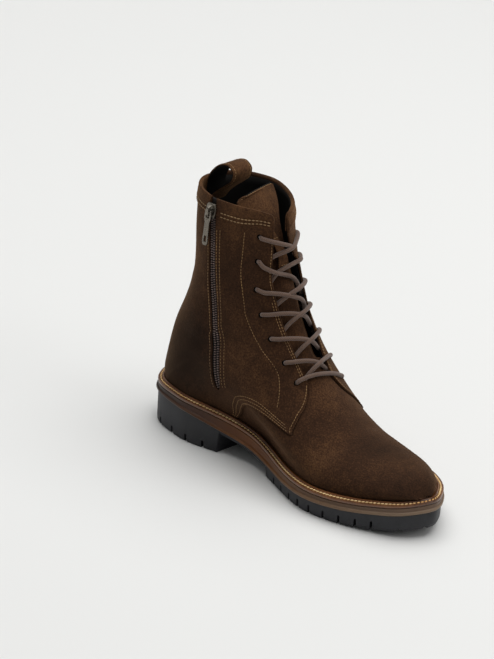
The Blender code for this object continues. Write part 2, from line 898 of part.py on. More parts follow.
def lace_strand(row, sign, lift):
    """From an eyelet across the gap to the other facing's edge, one row lower."""
    s1, inner, outer = EYELETS[row]
    s0 = EYELETS[row - 1][0]
    u1 = inner if sign < 0 else outer
    low = s0 + (s1 - s0) * 0.42
    edge = float(facing_edge(low))
    u0 = -math.copysign(edge - 0.045, u1)
    points = []
    for k in range(7):
        t = k / 6
        s = s1 + (low - s1) * t
        u = u1 + (u0 - u1) * t
        drop = smooth(0.45, 1.0, t) * 2.2
        hump = lift * math.exp(-((t - 0.62) / 0.2)**2)
        points.append(over(s, u, LACE_OVER - drop + hump))
    return points


def lace_cross(row):
    return (tube(lace_strand(row, -1, 0.0), LACE / 2), tube(lace_strand(row, 1, 1.6), LACE / 2))


def lace_bar():
    s, inner, outer = EYELETS[0]
    points = []
    for k in range(9):
        t = k / 8
        u = inner + (outer - inner) * t
        points.append(over(s - 0.003, u, LACE_OVER + 0.6 * math.sin(math.pi * t)))
    return tube(points, LACE / 2)


# Pull loop at the back of the collar
def loop_solid():
    steps = 4
    c = closed_curve(LOOP, steps)
    t = np.roll(c, -1, 0) - np.roll(c, 1, 0)
    t /= np.linalg.norm(t, axis=1)[:, None]
    out = np.stack([-t[:, 1], t[:, 0]], 1)
    half = 0.8
    mid = c.mean(0)
    if ((c + out - mid)**2).sum() < ((c - mid)**2).sum():
        out = -out
    n = len(c)
    verts = []
    y0, y1 = -STRAP_WIDE / 2 - 0.5, STRAP_WIDE / 2 - 0.5
    for y in (y0, y1):
        for h in (half, -half):
            verts += [(c[i, 0] + out[i, 0] * h, y, c[i, 1] + out[i, 1] * h) for i in range(n)]
    faces = []
    for i in range(n):
        j = (i + 1) % n
        faces.append((i, j, 2 * n + j, 2 * n + i))
        faces.append((n + j, n + i, 3 * n + i, 3 * n + j))
        faces.append((j, i, n + i, n + j))
        faces.append((2 * n + i, 2 * n + j, 3 * n + j, 3 * n + i))
    return verts, faces


# Lace keeper: a short strap sewn to the tongue, the sixth crossing runs under it
def keeper_points():
    rows = []
    for k in range(9):
        t = k / 8
        step = 5.35 + 1.55 * t
        lift = 0.95 + 4.2 * math.sin(math.pi * t)**0.8 * (0 < k < 8)
        rows.append((step, lift))
    return rows


# Slider and pull of the zip. Its hinge axis is parallel to x.
SLIDER_Z = 187.0
SLIDER_LEAN = math.radians(4.6)
PIN_HIGH = 3.9                          # pin's centre over the slider's inner face
PULL_LONG = 26.0


def slider_origin():
    p, n, _ = zip_frame(SLIDER_Z)
    return p + np.array((0.0, -1.0, 0.0)) * (QUARTER_STEP + 0.45)


def slider_place(a, b, h):
    """a across, b up along the zip, h outwards, from the slider's inner face."""
    o = slider_origin()
    up = np.array((0.0, math.sin(SLIDER_LEAN), math.cos(SLIDER_LEAN)))
    out = np.array((0.0, -math.cos(SLIDER_LEAN), math.sin(SLIDER_LEAN)))
    return o + np.array((1.0, 0.0, 0.0)) * a + up * b + out * h


def prism(profile, a0, a1, plane):
    """Extrude a profile across the slider (plane 'bh') or outwards (plane 'ab')."""
    n = len(profile)
    verts = []
    for w in (a0, a1):
        for p, q in profile:
            verts.append(tuple(slider_place(w, p, q) if plane == "bh" else slider_place(p, q, w)))
    faces = [tuple(reversed(range(n))), tuple(range(n, 2 * n))]
    for i in range(n):
        j = (i + 1) % n
        faces.append((i, j, n + j, n + i))
    return verts, faces


def slider_body():
    plate = [(-3.2, -5.5), (3.2, -5.5), (4.3, -2.0), (4.6, 3.0), (3.4, 5.5), (-3.4, 5.5), (-4.6, 3.0), (-4.3, -2.0)]
    return prism(plate, 0.0, 1.9, "ab")


def slider_bridge():
    arch = [(-4.2, 1.5), (-4.2, 3.6), (-2.6, 5.9), (2.6, 5.9), (4.2, 3.6), (4.2, 1.5), (2.7, 1.5),
            (2.7, 3.2), (1.7, 4.85), (-1.7, 4.85), (-2.7, 3.2), (-2.7, 1.5)]
    return prism(arch, -1.1, 1.1, "bh")


def pull_solid():
    """Pull with its pin under the slider's bridge, hanging down."""
    h0, h1 = PIN_HIGH - 0.65, PIN_HIGH + 0.65
    top = 0.65
    outer = [(-3.0, top), (-3.0, -6.0), (-2.1, -9.0), (-2.6, -PULL_LONG + 2.0), (-1.7, -PULL_LONG),
             (1.7, -PULL_LONG), (2.6, -PULL_LONG + 2.0), (2.1, -9.0), (3.0, -6.0), (3.0, top)]
    window = [(-1.6, -0.65), (-1.6, -5.2), (1.6, -5.2), (1.6, -0.65)]
    slot = [(-1.2, -19.0), (-1.2, -23.4), (1.2, -23.4), (1.2, -19.0)]
    return outer, window, slot, h0, h1


def build():
    for obj in list(bpy.data.objects):
        bpy.data.objects.remove(obj, do_unlink=True)
    suede = principled("suede", (0.085, 0.048, 0.026), 0.9)
    rubber = principled("rubber", (0.018, 0.018, 0.019), 0.7)
    brown = principled("midsole_rubber", (0.14, 0.075, 0.045), 0.45)
    welt_mat = principled("welt_leather", (0.17, 0.075, 0.035), 0.35)
    lace_mat = principled("lace_cotton", (0.16, 0.11, 0.085), 0.85)
    board = principled("insole_leather", (0.30, 0.22, 0.15), 0.7)
    tape_mat = principled("zip_tape", (0.05, 0.035, 0.028), 0.7)
    metal = principled("nickel", (0.45, 0.43, 0.40), 0.35, 1.0)

    # Outsole: one moulded rubber sole, with slots and grooves between its lugs
    breaks = (HEEL_BREAST - 0.9, HEEL_BREAST + 0.9, FORE_START - 0.9, FORE_START + 0.9)
    levels = [(1.8, tread), (0.9, lambda x: tread(x) + 2.4), (0.7, outsole_top)]
    verts, faces = stack(levels, breaks)
    outsole = new_object("lug_outsole", verts, faces, rubber, 35)
    boolean(outsole, cutter("slot_cutter", *side_slots()), "DIFFERENCE")
    grooves = joined([channel(6.0, HEEL_BREAST - 7.0, 11.0, 3.4, 4.0),
                      channel(FORE_START + 7.0, LENGTH, 11.0, 3.4, 4.0)])
    boolean(outsole, cutter("groove_cutter", *grooves), "DIFFERENCE")
    boolean(outsole, cutter("cross_cutter", *cross_channels()), "DIFFERENCE")

    # Midsole with its lip flared over the outsole
    lip = [(0.3, midsole_bottom), (-MIDSOLE_LIP, lambda x: midsole_bottom(x) + 1.2),
           (-MIDSOLE_LIP, lambda x: midsole_bottom(x) + 2.4), (0.5, lambda x: midsole_bottom(x) + 3.4),
           (0.5, midsole_top)]
    verts, faces = stack(lip)
    new_object("midsole", verts, faces, brown, 35)

    # Welt: strip round the feather line, with a storm ridge beside the upper and a stitch groove
    strip = [(0.5, welt_bottom), (0.0, lambda x: welt_top(x) - 0.6), (0.8, welt_top),
             (2.2, lambda x: welt_top(x) - 0.5), (3.2, lambda x: welt_top(x) - 0.2),
             (3.6, lambda x: welt_top(x) + 1.2), (4.4, lambda x: welt_top(x) + 1.2), (4.9, welt_top)]
    inner = [(11.0, welt_bottom), (11.0, welt_top)]
    verts, faces = stack(strip, (), inner)
    new_object("welt", verts, faces, welt_mat, 35)

    # Insole: fills the welt's ring and spreads under the upper's inner wall
    board_levels = [(11.4, lambda x: midsole_top(x) + GAP), (11.4, lambda x: welt_top(x) + GAP),
                    (12.6, lambda x: welt_top(x) + GAP + INSOLE_THICK)]
    verts, faces = stack(board_levels)
    new_object("insole", verts, faces, board, 35)

    # Upper, with its eyelets and the slit of the side zip
    verts, faces = upper_solid()
    body = new_object("upper", verts, faces, suede, 40)
    boolean(body, cutter("eyelet_cutter", *eyelet_cutters()), "DIFFERENCE")
    tape_zs = [52.4 + (193.0 - 52.4) * k / 14 for k in range(15)]
    slit = zip_strip([51.6] + tape_zs + [215.0], ZIP_WIDE + 3 * GAP, -7.0, 6.0)
    boolean(body, cutter("zip_cutter", *slit), "DIFFERENCE")

    # Zip tape with its coil, closed all the way up
    verts, faces = zip_strip(tape_zs, ZIP_WIDE, -WALL + 0.2, 0.45, 0.45)
    new_object("zip_tape", verts, faces, tape_mat, 35)

    # Slider
    slider = new_object("zip_slider", *slider_body(), metal, 35)
    bridge = cutter("bridge_shape", *slider_bridge())
    boolean(slider, bridge, "UNION")

    # Pull, hinged on its pin
    outer, window, slot, h0, h1 = pull_solid()
    hinge = slider_place(0.0, 0.0, PIN_HIGH)
    verts, faces = prism(outer, h0, h1, "ab")
    pull = new_object("zip_pull", verts, faces, metal, 35, hinge)
    holes = joined([prism(window, h0 - 2, h1 + 2, "ab"), prism(slot, h0 - 2, h1 + 2, "ab")])
    boolean(pull, cutter("pull_cutter", *holes), "DIFFERENCE")
    print("zip hinge at", [round(v, 5) for v in metres(hinge)])

    # Tongue and its lace keeper
    verts, faces = tongue_solid()
    new_object("tongue", verts, faces, suede, 40)
    verts, faces = keeper_solid()
    new_object("lace_keeper", verts, faces, suede, 40)

    # Laces
    new_object("lace_bar", *lace_bar(), lace_mat, 50)
    for row in range(1, len(EYELETS)):
        a, b = lace_cross(row)
        obj = new_object("lace_crossing_%d" % row, *a, lace_mat, 50)
        boolean(obj, cutter("strand_%d" % row, *b), "UNION")

    # Pull loop
    new_object("pull_loop", *loop_solid(), suede, 40)


def keeper_solid():
    wide = 5.2
    thick = 1.3
    rows = keeper_points()
    verts = []
    for side in (1, 0):
        for step, lift in rows:
            for a in (-1.0, 0.0, 1.0):
                w = a * wide / 28.0
                p = tongue_point(step, w, -(lift + side * thick))
                verts.append(tuple(p))
    n = len(rows)
    faces = []
    for i in range(n - 1):
        for j in (0, 1):
            a = 3 * i + j
            b = 3 * n + a
            faces.append((a, a + 1, a + 4, a + 3))
            faces.append((b + 3, b + 4, b + 1, b))
        a = 3 * i
        faces.append((a, a + 3, 3 * n + a + 3, 3 * n + a))
        faces.append((a + 5, a + 2, 3 * n + a + 2, 3 * n + a + 5))
    for a in (0, 1):
        faces.append((a + 1, a, 3 * n + a, 3 * n + a + 1))
        e = 3 * n - 3 + a
        faces.append((e, e + 1, 3 * n + e + 1, 3 * n + e))
    return verts, faces


build()
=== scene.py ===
# Looks of a brown suede lace-up ankle boot with a side zip and a welted lug sole.
# Shapes are worked out in millimetres: x from heel to toe, y to the outer side, z up from the floor.
import math

import bmesh
import bpy
import numpy as np
from mathutils import Matrix, Vector


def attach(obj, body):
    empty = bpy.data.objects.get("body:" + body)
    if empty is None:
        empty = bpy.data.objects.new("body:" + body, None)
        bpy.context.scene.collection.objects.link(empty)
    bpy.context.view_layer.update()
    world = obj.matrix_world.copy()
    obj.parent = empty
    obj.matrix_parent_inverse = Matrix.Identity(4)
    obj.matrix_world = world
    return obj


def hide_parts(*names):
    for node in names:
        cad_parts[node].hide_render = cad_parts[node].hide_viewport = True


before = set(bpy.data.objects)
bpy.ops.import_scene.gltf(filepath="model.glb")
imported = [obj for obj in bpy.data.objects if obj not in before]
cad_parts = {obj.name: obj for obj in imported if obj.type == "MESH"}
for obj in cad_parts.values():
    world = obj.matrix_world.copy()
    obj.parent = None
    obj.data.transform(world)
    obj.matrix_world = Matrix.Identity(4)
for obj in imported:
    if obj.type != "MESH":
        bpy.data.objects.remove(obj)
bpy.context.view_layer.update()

CENTRE_X = 138.0                        # the part's origin in these millimetres
CENTRE_Y = 0.44

# Camera, at the photograph's angle to the boot
CAMERA_AT = (1853.3, -1855.4, 1238.2)
CAMERA_AZIMUTH = 43.77
CAMERA_ELEVATION = 24.1
CAMERA_ROLL = -3.83
FOCAL_PIXELS = 3821.2
LONG_SIDE = 659


def metres(points):
    """Points given in these millimetres, in the part's own frame."""
    p = np.asarray(points, float)
    return (p - np.array((CENTRE_X, CENTRE_Y, 0.0))) / 1000


def make_camera():
    """Camera that looks along its azimuth and elevation, turned by its roll."""
    data = bpy.data.cameras.new("camera")
    data.sensor_width = 36.0
    data.lens = FOCAL_PIXELS / LONG_SIDE * data.sensor_width
    data.clip_start = 0.1
    data.clip_end = 50.0
    a = math.radians(CAMERA_AZIMUTH)
    e = math.radians(CAMERA_ELEVATION)
    back = Vector((math.sin(a) * math.cos(e), -math.cos(a) * math.cos(e), math.sin(e)))
    right = Vector((math.cos(a), math.sin(a), 0.0))
    up = back.cross(right)
    roll = Matrix.Rotation(-math.radians(CAMERA_ROLL), 3, back)
    right = roll @ right
    up = roll @ up
    turn = Matrix((right, up, back)).transposed()
    camera = bpy.data.objects.new("camera", data)
    camera.matrix_world = Matrix.Translation(Vector(metres(CAMERA_AT))) @ turn.to_4x4()
    bpy.context.scene.collection.objects.link(camera)
    bpy.context.scene.camera = camera


make_camera()

# Driving sizes: the solids' own, but the quarters' edge, facings and eyelets follow the photo closer
LENGTH = 276.0
WELT_THICK = 2.5
GAP = 0.3
FEATHER = 6.5
WALL = 1.6
QUARTER_STEP = 1.0
BAND_STEP = 1.3
BAND_HIGH = 14.0
LACE = 3.2
EYELET_RADIUS = 2.15
WELT_HEEL = 34.3                        # height of the welt's top at the heel, the ball and the toe
WELT_BALL = 19.4
WELT_TOE = 29.8
S_LONG = 330.0                          # about how many millimetres one of s is on the shaft
U_WIDE = 150.0                          # about how many millimetres one of u is there

OUTLINE = (
    # x, y
    (0.0, 0.0), (12.0, 26.0), (44.0, 37.5), (114.5, 38.0), (180.0, 50.0), (239.0, 38.0),
    (264.5, 17.0), (276.0, -4.5), (266.5, -23.0), (242.0, -37.0), (195.5, -49.0),
    (113.0, -28.0), (44.5, -37.0), (12.0, -26.0),
)
MIDSOLE = (
    # x, thick
    (0.0, 5.5), (55.0, 7.0), (90.0, 9.5), (125.0, 9.0), (165.0, 6.8), (276.0, 6.0),
)
SECTIONS = (
    # path, front_x, front_z, ridge, out, inn, full, round
    (0.0, 269.0, 30.0, -4.5, 4.0, 10.0, 0.90, 2.0),
    (10.0, 262.0, 41.0, -4.5, 19.0, 22.0, 0.90, 2.0),
    (28.0, 243.0, 45.0, -4.5, 32.5, 30.0, 0.90, 2.0),
    (55.0, 215.5, 47.5, -5.0, 43.0, 36.0, 0.90, 2.0),
    (88.0, 188.0, 55.0, -5.5, 49.5, 41.0, 0.85, 1.7),
    (125.0, 164.0, 72.5, -5.5, 50.5, 38.5, 0.75, 1.7),
    (170.0, 143.5, 96.5, -4.5, 47.5, 34.5, 0.70, 1.8),
    (225.0, 129.5, 120.5, -4.0, 42.5, 32.5, 0.70, 2.0),
    (263.0, 123.0, 137.5, -3.5, 38.5, 31.5, 0.65, 2.1),
    (303.0, 116.0, 151.0, -3.5, 39.0, 30.0, 0.55, 2.0),
    (363.0, 112.0, 169.5, -4.0, 39.0, 28.0, 0.55, 1.7),
    (426.0, 110.0, 195.0, -4.5, 37.5, 24.5, 0.65, 1.7),
)
BACK_ROW = 8                            # the section that ends where the sole's path turns up the back
BACK_S = BACK_ROW / (len(SECTIONS) - 1)
BACK_PATH = SECTIONS[BACK_ROW][0]
BACK = (
    # z, x
    (34.0, 6.3), (40.0, 5.6), (55.0, 8.0), (80.0, 15.0), (105.0, 24.0), (130.0, 31.5),
    (165.0, 29.5), (200.0, 29.0),
)
BACK_DEEP = 42.0
BACK_ROUND = 2.2
QUARTER_EDGE = (
    # u, s
    (0.140, 0.487), (0.190, 0.466), (0.250, 0.452), (0.310, 0.446), (0.370, 0.440),
    (0.420, 0.436), (0.455, 0.434), (0.482, 0.470), (0.512, 0.503), (0.550, 0.530),
    (0.600, 0.547), (0.680, 0.553), (0.790, 0.554), (0.890, 0.555), (1.000, 0.555),
)
FACING = (
    # s, u
    (0.485, 0.140), (0.530, 0.138), (0.600, 0.140), (0.680, 0.138), (0.780, 0.135),
    (0.880, 0.135), (0.940, 0.137), (1.000, 0.135),
)
EYELETS = (
    # s, inner u, outer u
    (0.503, -0.213, 0.285), (0.553, -0.227, 0.265), (0.614, -0.240, 0.262),
    (0.696, -0.236, 0.258), (0.795, -0.230, 0.245), (0.884, -0.238, 0.245),
    (0.944, -0.238, 0.262),
)
ZIP = (
    # z, x
    (54.0, 85.0), (90.0, 77.5), (120.0, 72.0), (150.0, 67.5), (175.0, 64.0), (205.0, 60.5),
)
LOOP = (
    # x, z
    (35.2, 180.0), (34.8, 188.0), (35.6, 197.5), (40.5, 206.0), (48.5, 212.6), (56.5, 214.0),
    (61.0, 210.5), (60.0, 204.5), (54.0, 198.5), (46.0, 192.0), (39.5, 185.5),
)
TONGUE = (
    # step, s, lean, reach, thick
    (0.0, 0.465, 0.0, 0.115, 2.0),
    (1.0, 0.510, 0.0, 0.270, 2.0),
    (2.0, 0.570, 0.5, 0.300, 2.0),
    (3.0, 0.640, 1.0, 0.310, 2.0),
    (4.0, 0.720, 1.5, 0.310, 2.0),
    (5.0, 0.800, 2.5, 0.310, 2.2),
    (6.0, 0.870, 5.0, 0.315, 2.2),
    (7.0, 0.930, 13.0, 0.330, 2.2),
    (8.0, 0.975, 24.0, 0.350, 2.2),
    (9.0, 1.000, 32.0, 0.360, 2.2),
)


def hermite(xs, ys, x):
    """Smooth curve through a table."""
    xs = np.asarray(xs, float)
    ys = np.asarray(ys, float)
    x = np.asarray(x, float)
    h = np.diff(xs)
    d = np.diff(ys) / h
    m = np.empty_like(ys)
    m[1:-1] = (d[:-1] * h[1:] + d[1:] * h[:-1]) / (h[:-1] + h[1:])
    m[0] = 1.5 * d[0] - 0.5 * m[1]
    m[-1] = 1.5 * d[-1] - 0.5 * m[-2]
    i = np.clip(np.searchsorted(xs, x, side="right") - 1, 0, len(h) - 1)
    t = np.clip((x - xs[i]) / h[i], 0, 1)
    a = (2 * t**3 - 3 * t**2 + 1) * ys[i] + (t**3 - 2 * t**2 + t) * h[i] * m[i]
    return a + (3 * t**2 - 2 * t**3) * ys[i + 1] + (t**3 - t**2) * h[i] * m[i + 1]


def table(rows, key, value, x):
    return hermite([r[key] for r in rows], [r[value] for r in rows], x)


def smooth(a, b, x):
    t = np.clip((np.asarray(x, float) - a) / (b - a), 0, 1)
    return t * t * (3 - 2 * t)


# Outline of the sole
def closed_curve(points, steps):
    """Smooth closed curve through points, with so many steps from one to the next."""
    out = []
    n = len(points)
    p = np.array(points, float)
    for i in range(n):
        p0, p1, p2, p3 = p[i - 1], p[i], p[(i + 1) % n], p[(i + 2) % n]
        d0 = np.linalg.norm(p1 - p0)
        d1 = np.linalg.norm(p2 - p1)
        d2 = np.linalg.norm(p3 - p2)
        m1 = ((p1 - p0) / d0 * d1 + (p2 - p1) / d1 * d0) / (d0 + d1) * d1
        m2 = ((p2 - p1) / d1 * d2 + (p3 - p2) / d2 * d1) / (d1 + d2) * d1
        for k in range(steps):
            t = k / steps
            a = (2 * t**3 - 3 * t**2 + 1) * p1 + (t**3 - 2 * t**2 + t) * m1
            out.append(a + (3 * t**2 - 2 * t**3) * p2 + (t**3 - t**2) * m2)
    return np.array(out)


EDGE = closed_curve(OUTLINE, 30)
EDGE_STEP = np.linalg.norm(np.roll(EDGE, -1, 0) - EDGE, axis=1)
EDGE_AT = np.concatenate([[0.0], np.cumsum(EDGE_STEP)])
EDGE_LENGTH = EDGE_AT[-1]
EDGE_TURN = np.roll(EDGE, -1, 0) - np.roll(EDGE, 1, 0)
EDGE_TURN /= np.linalg.norm(EDGE_TURN, axis=1)[:, None]
EDGE_IN = np.stack([EDGE_TURN[:, 1], -EDGE_TURN[:, 0]], 1)


def edge_point(t, inset):
    """Point on the outline at t from 0 to 1 round it, moved inwards."""
    d = np.mod(np.asarray(t, float), 1.0) * EDGE_LENGTH
    closed = np.vstack([EDGE, EDGE[:1]])
    inward = np.vstack([EDGE_IN, EDGE_IN[:1]])
    x = np.interp(d, EDGE_AT, closed[:, 0])
    y = np.interp(d, EDGE_AT, closed[:, 1])
    nx = np.interp(d, EDGE_AT, inward[:, 0])
    ny = np.interp(d, EDGE_AT, inward[:, 1])
    length = np.sqrt(nx * nx + ny * ny)
    return x + nx / length * inset, y + ny / length * inset


def inset_sides(inset):
    """The outline moved inwards, as its outer and its inner side, each from heel to toe."""
    c = EDGE + EDGE_IN * inset
    c = np.roll(c, -c[:, 0].argmin(), 0)
    tip = c[:, 0].argmax()
    return c[:tip + 1], np.vstack([c[tip:], c[:1]])[::-1]


SIDES = {}


def side_y(x, inset, outer):
    if inset not in SIDES:
        SIDES[inset] = inset_sides(inset)
    side = SIDES[inset][0 if outer else 1]
    return np.interp(x, side[:, 0], side[:, 1])


def welt_top(x):
    ball, toe = 165, 195
    z = WELT_HEEL + (WELT_BALL - WELT_HEEL) * smooth(50, ball, x)
    return z + (WELT_TOE - WELT_BALL) * np.clip((np.asarray(x, float) - toe) / (LENGTH - toe), 0, 1)**1.8


def welt_bottom(x):
    return welt_top(x) - WELT_THICK


def midsole_top(x):
    return welt_bottom(x) - GAP


def midsole_bottom(x):
    return midsole_top(x) - table(MIDSOLE, 0, 1, x)


# Surface of the upper
def back_x(z):
    return table(BACK, 0, 1, z)


def back_close(x, z):
    """How far the upper has opened at x from its rounded back: 0 at the back, 1 past its curve."""
    d = np.clip((x - back_x(z)) / BACK_DEEP, 0, 1)
    return np.clip(1 - (1 - d)**BACK_ROUND, 1e-9, 1)**(1 / BACK_ROUND)


side_y(0, FEATHER, True)
FEATHER_HEEL = SIDES[FEATHER][0][0, 0]
FEATHER_TOE = SIDES[FEATHER][0][-1, 0]
SOLE_PATH = FEATHER_TOE - FEATHER_HEEL


def upper(s, u):
    """Point of the upper. s runs from the toe to the collar, u from the inner edge over the ridge."""
    s = np.asarray(s, float)
    u = np.asarray(u, float)
    s, u = np.broadcast_arrays(s, u)
    k = s * (len(SECTIONS) - 1)
    idx = range(len(SECTIONS))
    path, fx, fz, ridge, out, inn, full, power = [
        hermite(idx, [r[c] for r in SECTIONS], k) for c in range(8)]
    path = np.where(path < BACK_PATH, path / BACK_PATH * SOLE_PATH, path - BACK_PATH + SOLE_PATH)
    ex = np.maximum(FEATHER_TOE - path, FEATHER_HEEL)
    ez = welt_top(ex) + np.maximum(path - SOLE_PATH, 0) + GAP
    ex = np.where(path > SOLE_PATH, back_x(ez), ex)
    v = np.sin(np.pi / 2 * np.abs(u))**2
    x = fx + (ex - fx) * v
    z = fz + (ez - fz) * v
    outer = u > 0
    wide = np.where(outer, out, inn)
    t = np.clip(v / full, 0, 1)
    arch = np.clip(1 - (1 - t)**power, 1e-12, 1)**(1 / power)
    fx2 = np.maximum(ex, FEATHER_HEEL + 10)
    close = back_close(fx2, welt_top(fx2))
    foot = np.where(outer, side_y(fx2, FEATHER, True) / close - ridge,
                    ridge - side_y(fx2, FEATHER, False) / close)
    on_back = smooth(SOLE_PATH - 5, SOLE_PATH + 45, path)
    foot = foot * (1 - on_back) + wide * on_back
    m = smooth(0.5, 1.0, v)
    y = arch * (wide * (1 - m) + foot * m)
    return np.stack([x, np.where(outer, ridge + y, ridge - y) * back_close(x, z), z], -1)


def normal(s, u):
    s = np.asarray(s, float)
    u = np.asarray(u, float)
    e = 0.004
    ds = upper(np.minimum(s + e, 1), u) - upper(np.maximum(s - e, 0.002), u)
    du = upper(s, np.clip(u + e, -1, 1)) - upper(s, np.clip(u - e, -1, 1))
    n = np.cross(du, ds)
    return n / (np.linalg.norm(n, axis=-1, keepdims=True) + 1e-12)


def stretch(s, u):
    """Millimetres per unit of s and of u at a point."""
    s, u = np.broadcast_arrays(np.asarray(s, float), np.asarray(u, float))
    e = 0.003
    s0, s1 = np.maximum(s - e, 0), np.minimum(s + e, 1)
    u0, u1 = np.clip(u - e, -1, 1), np.clip(u + e, -1, 1)
    ds = upper(s1, u) - upper(s0, u)
    du = upper(s, u1) - upper(s, u0)
    return np.linalg.norm(ds, axis=-1) / (s1 - s0), np.linalg.norm(du, axis=-1) / (u1 - u0)


def side_point(x, z, sign):
    """Place on the upper of a point given by its side view."""
    s = np.linspace(0.1, 1.0, 400)
    front = upper(s, 0 * s)
    end = upper(s, 0 * s + sign)
    c = (end[:, 0] - front[:, 0]) * (z - front[:, 2]) - (end[:, 2] - front[:, 2]) * (x - front[:, 0])
    hits = np.nonzero(c[:-1] * c[1:] <= 0)[0]
    i = hits[-1] if len(hits) else int(np.abs(c).argmin())
    f = c[i] / (c[i] - c[min(i + 1, 399)] + 1e-12) if len(hits) else 0.0
    st = s[i] + (s[1] - s[0]) * f
    fr = upper(st, 0.0)
    en = upper(st, float(sign))
    v = ((x - fr[0]) * (en[0] - fr[0]) + (z - fr[2]) * (en[2] - fr[2]))
    v /= (en[0] - fr[0])**2 + (en[2] - fr[2])**2
    return float(st), sign * 2 / math.pi * math.asin(math.sqrt(min(max(float(v), 0), 1)))


def quarter_edge(u):
    return table(QUARTER_EDGE, 0, 1, np.maximum(np.abs(u), QUARTER_EDGE[0][0]))


def facing_edge(s):
    return table(FACING, 0, 1, s)


def outer_edge(s):
    """The outer facing comes closer to the tongue at its top."""
    return facing_edge(s) - 0.10 * smooth(0.80, 0.95, s)


CORNER = 4.5                            # radius of a facing's top corner
RIM_WIDE = 115.0                        # about how many millimetres one of u is at the rim's front


def rim(u):
    """Top edge of the collar: it falls a little to the front and turns down round its corner."""
    beside = np.where(u > 0, u - 0.035, -u - 0.135)
    across = np.clip(beside * RIM_WIDE, 0, CORNER)
    corner = CORNER - np.sqrt(CORNER**2 - (CORNER - across)**2)
    # millimetres that one of s is here: the last section is 25.5 mm high in front and 63 behind
    high = (len(SECTIONS) - 1) * (25.5 + 37.5 * np.sin(np.pi / 2 * np.abs(u))**2)
    return 1 - 0.005 * (1 - smooth(0.0, 0.14, beside)) - corner / high


ZIP_HEIGHTS = np.linspace(ZIP[0][0], 196.0, 30)
ZIP_LINE = np.array([side_point(float(table(ZIP, 0, 1, z)), float(z), -1) for z in ZIP_HEIGHTS])
ZIP_END = float(ZIP_LINE[0, 0])
ZIP_HALF = 3.0


def zip_u(s):
    """The zip's line, carried on a little below its lower end."""
    order = np.argsort(ZIP_LINE[:, 0])
    beyond = np.maximum(ZIP_END - np.asarray(s, float), 0)
    return np.interp(s, ZIP_LINE[order, 0], ZIP_LINE[order, 1]) - 0.06 * (1 - np.exp(-beyond * 65.0))


def zip_slope(s):
    """How far the zip's line slants at s, and the millimetres that one of s and of u are there."""
    s = np.asarray(s, float)
    e = 0.02
    ms, mu = stretch(s, zip_u(s))
    return (zip_u(s + e) - zip_u(s - e)) / (2 * e) * mu / ms, ms, mu


def zip_across(s, width):
    """A width square to the zip, as a part of u at one s: low down the zip slants."""
    slope, _, mu = zip_slope(s)
    return width * np.sqrt(1 + np.minimum(slope**2, 4.0)) / mu


def beside_zip(s, width):
    """Place a width in millimetres from the zip's line, square to it."""
    slope, ms, mu = zip_slope(s)
    square = width / np.sqrt(1 + slope**2)
    return s - square * slope / ms, zip_u(s) + square / mu


CREASES = (
    # x, z, outer side (1) or inner side (-1), along x, along z, half length, half width, depth
    (92.0, 92.0, -1, 0.95, 0.30, 26.0, 5.0, -0.9),
    (88.0, 106.0, -1, 0.97, 0.22, 24.0, 5.0, 0.7),
    (60.0, 84.0, -1, 0.99, -0.10, 20.0, 5.0, -0.6),
    (50.0, 128.0, -1, 0.98, 0.20, 18.0, 6.0, 0.5),
    (92.0, 94.0, 1, 0.95, 0.30, 26.0, 5.0, -0.8),
    (84.0, 108.0, 1, 0.97, 0.22, 22.0, 5.0, 0.6),
    (58.0, 88.0, 1, 0.99, -0.10, 20.0, 5.0, -0.6),
    (196.0, 48.0, -1, 0.35, 0.94, 14.0, 6.0, -0.7),
    (206.0, 46.0, -1, 0.35, 0.94, 14.0, 5.0, 0.5),
    (192.0, 50.0, 1, 0.35, 0.94, 14.0, 6.0, -0.7),
)


def relief(s, u):
    """Creases and soft waves of the worn suede, in millimetres."""
    s, u = np.broadcast_arrays(np.asarray(s, float), np.asarray(u, float))
    p = upper(s, u)
    x, z = p[..., 0], p[..., 2]
    h = 0.35 * np.sin(z / 9.0 + x / 17.0) * np.sin(x / 13.0 - z / 31.0)
    for cx, cz, side, ax, az, long, wide, deep in CREASES:
        along = (x - cx) * ax + (z - cz) * az
        across = -(x - cx) * az + (z - cz) * ax + 2.0 * (along / long)**2
        here = np.exp(-(along / long)**2 - (across / wide)**2)
        h = h + deep * here * smooth(0.05, 0.3, side * u)
    return h * smooth(0.03, 0.2, s) * smooth(1.0, 0.93, s) * smooth(1.0, 0.9, np.abs(u))


def lift(s, u):
    """How far a facing stands off the tongue: the outer one gapes, the inner one hardly."""
    s, u = np.broadcast_arrays(np.asarray(s, float), np.asarray(u, float))
    off = (np.abs(u) - np.where(u > 0, outer_edge(s), facing_edge(s))) * U_WIDE
    most = np.where(u > 0, 0.9, 0.4)
    return most * np.exp(-(np.maximum(off, 0) / 9.0)**2) * smooth(0.41, 0.47, s) * smooth(1.0, 0.9, s)


def over(s, u, height):
    """Point at a height over the worn surface."""
    s = np.asarray(s, float)
    u = np.asarray(u, float)
    h = np.asarray(height, float) + relief(s, u)
    return upper(s, u) + normal(s, u) * h[..., None]


def on_quarter(s, u, height):
    """The same on a quarter, which stands off the tongue at its facing."""
    return over(s, u, np.asarray(height, float) + lift(s, u))


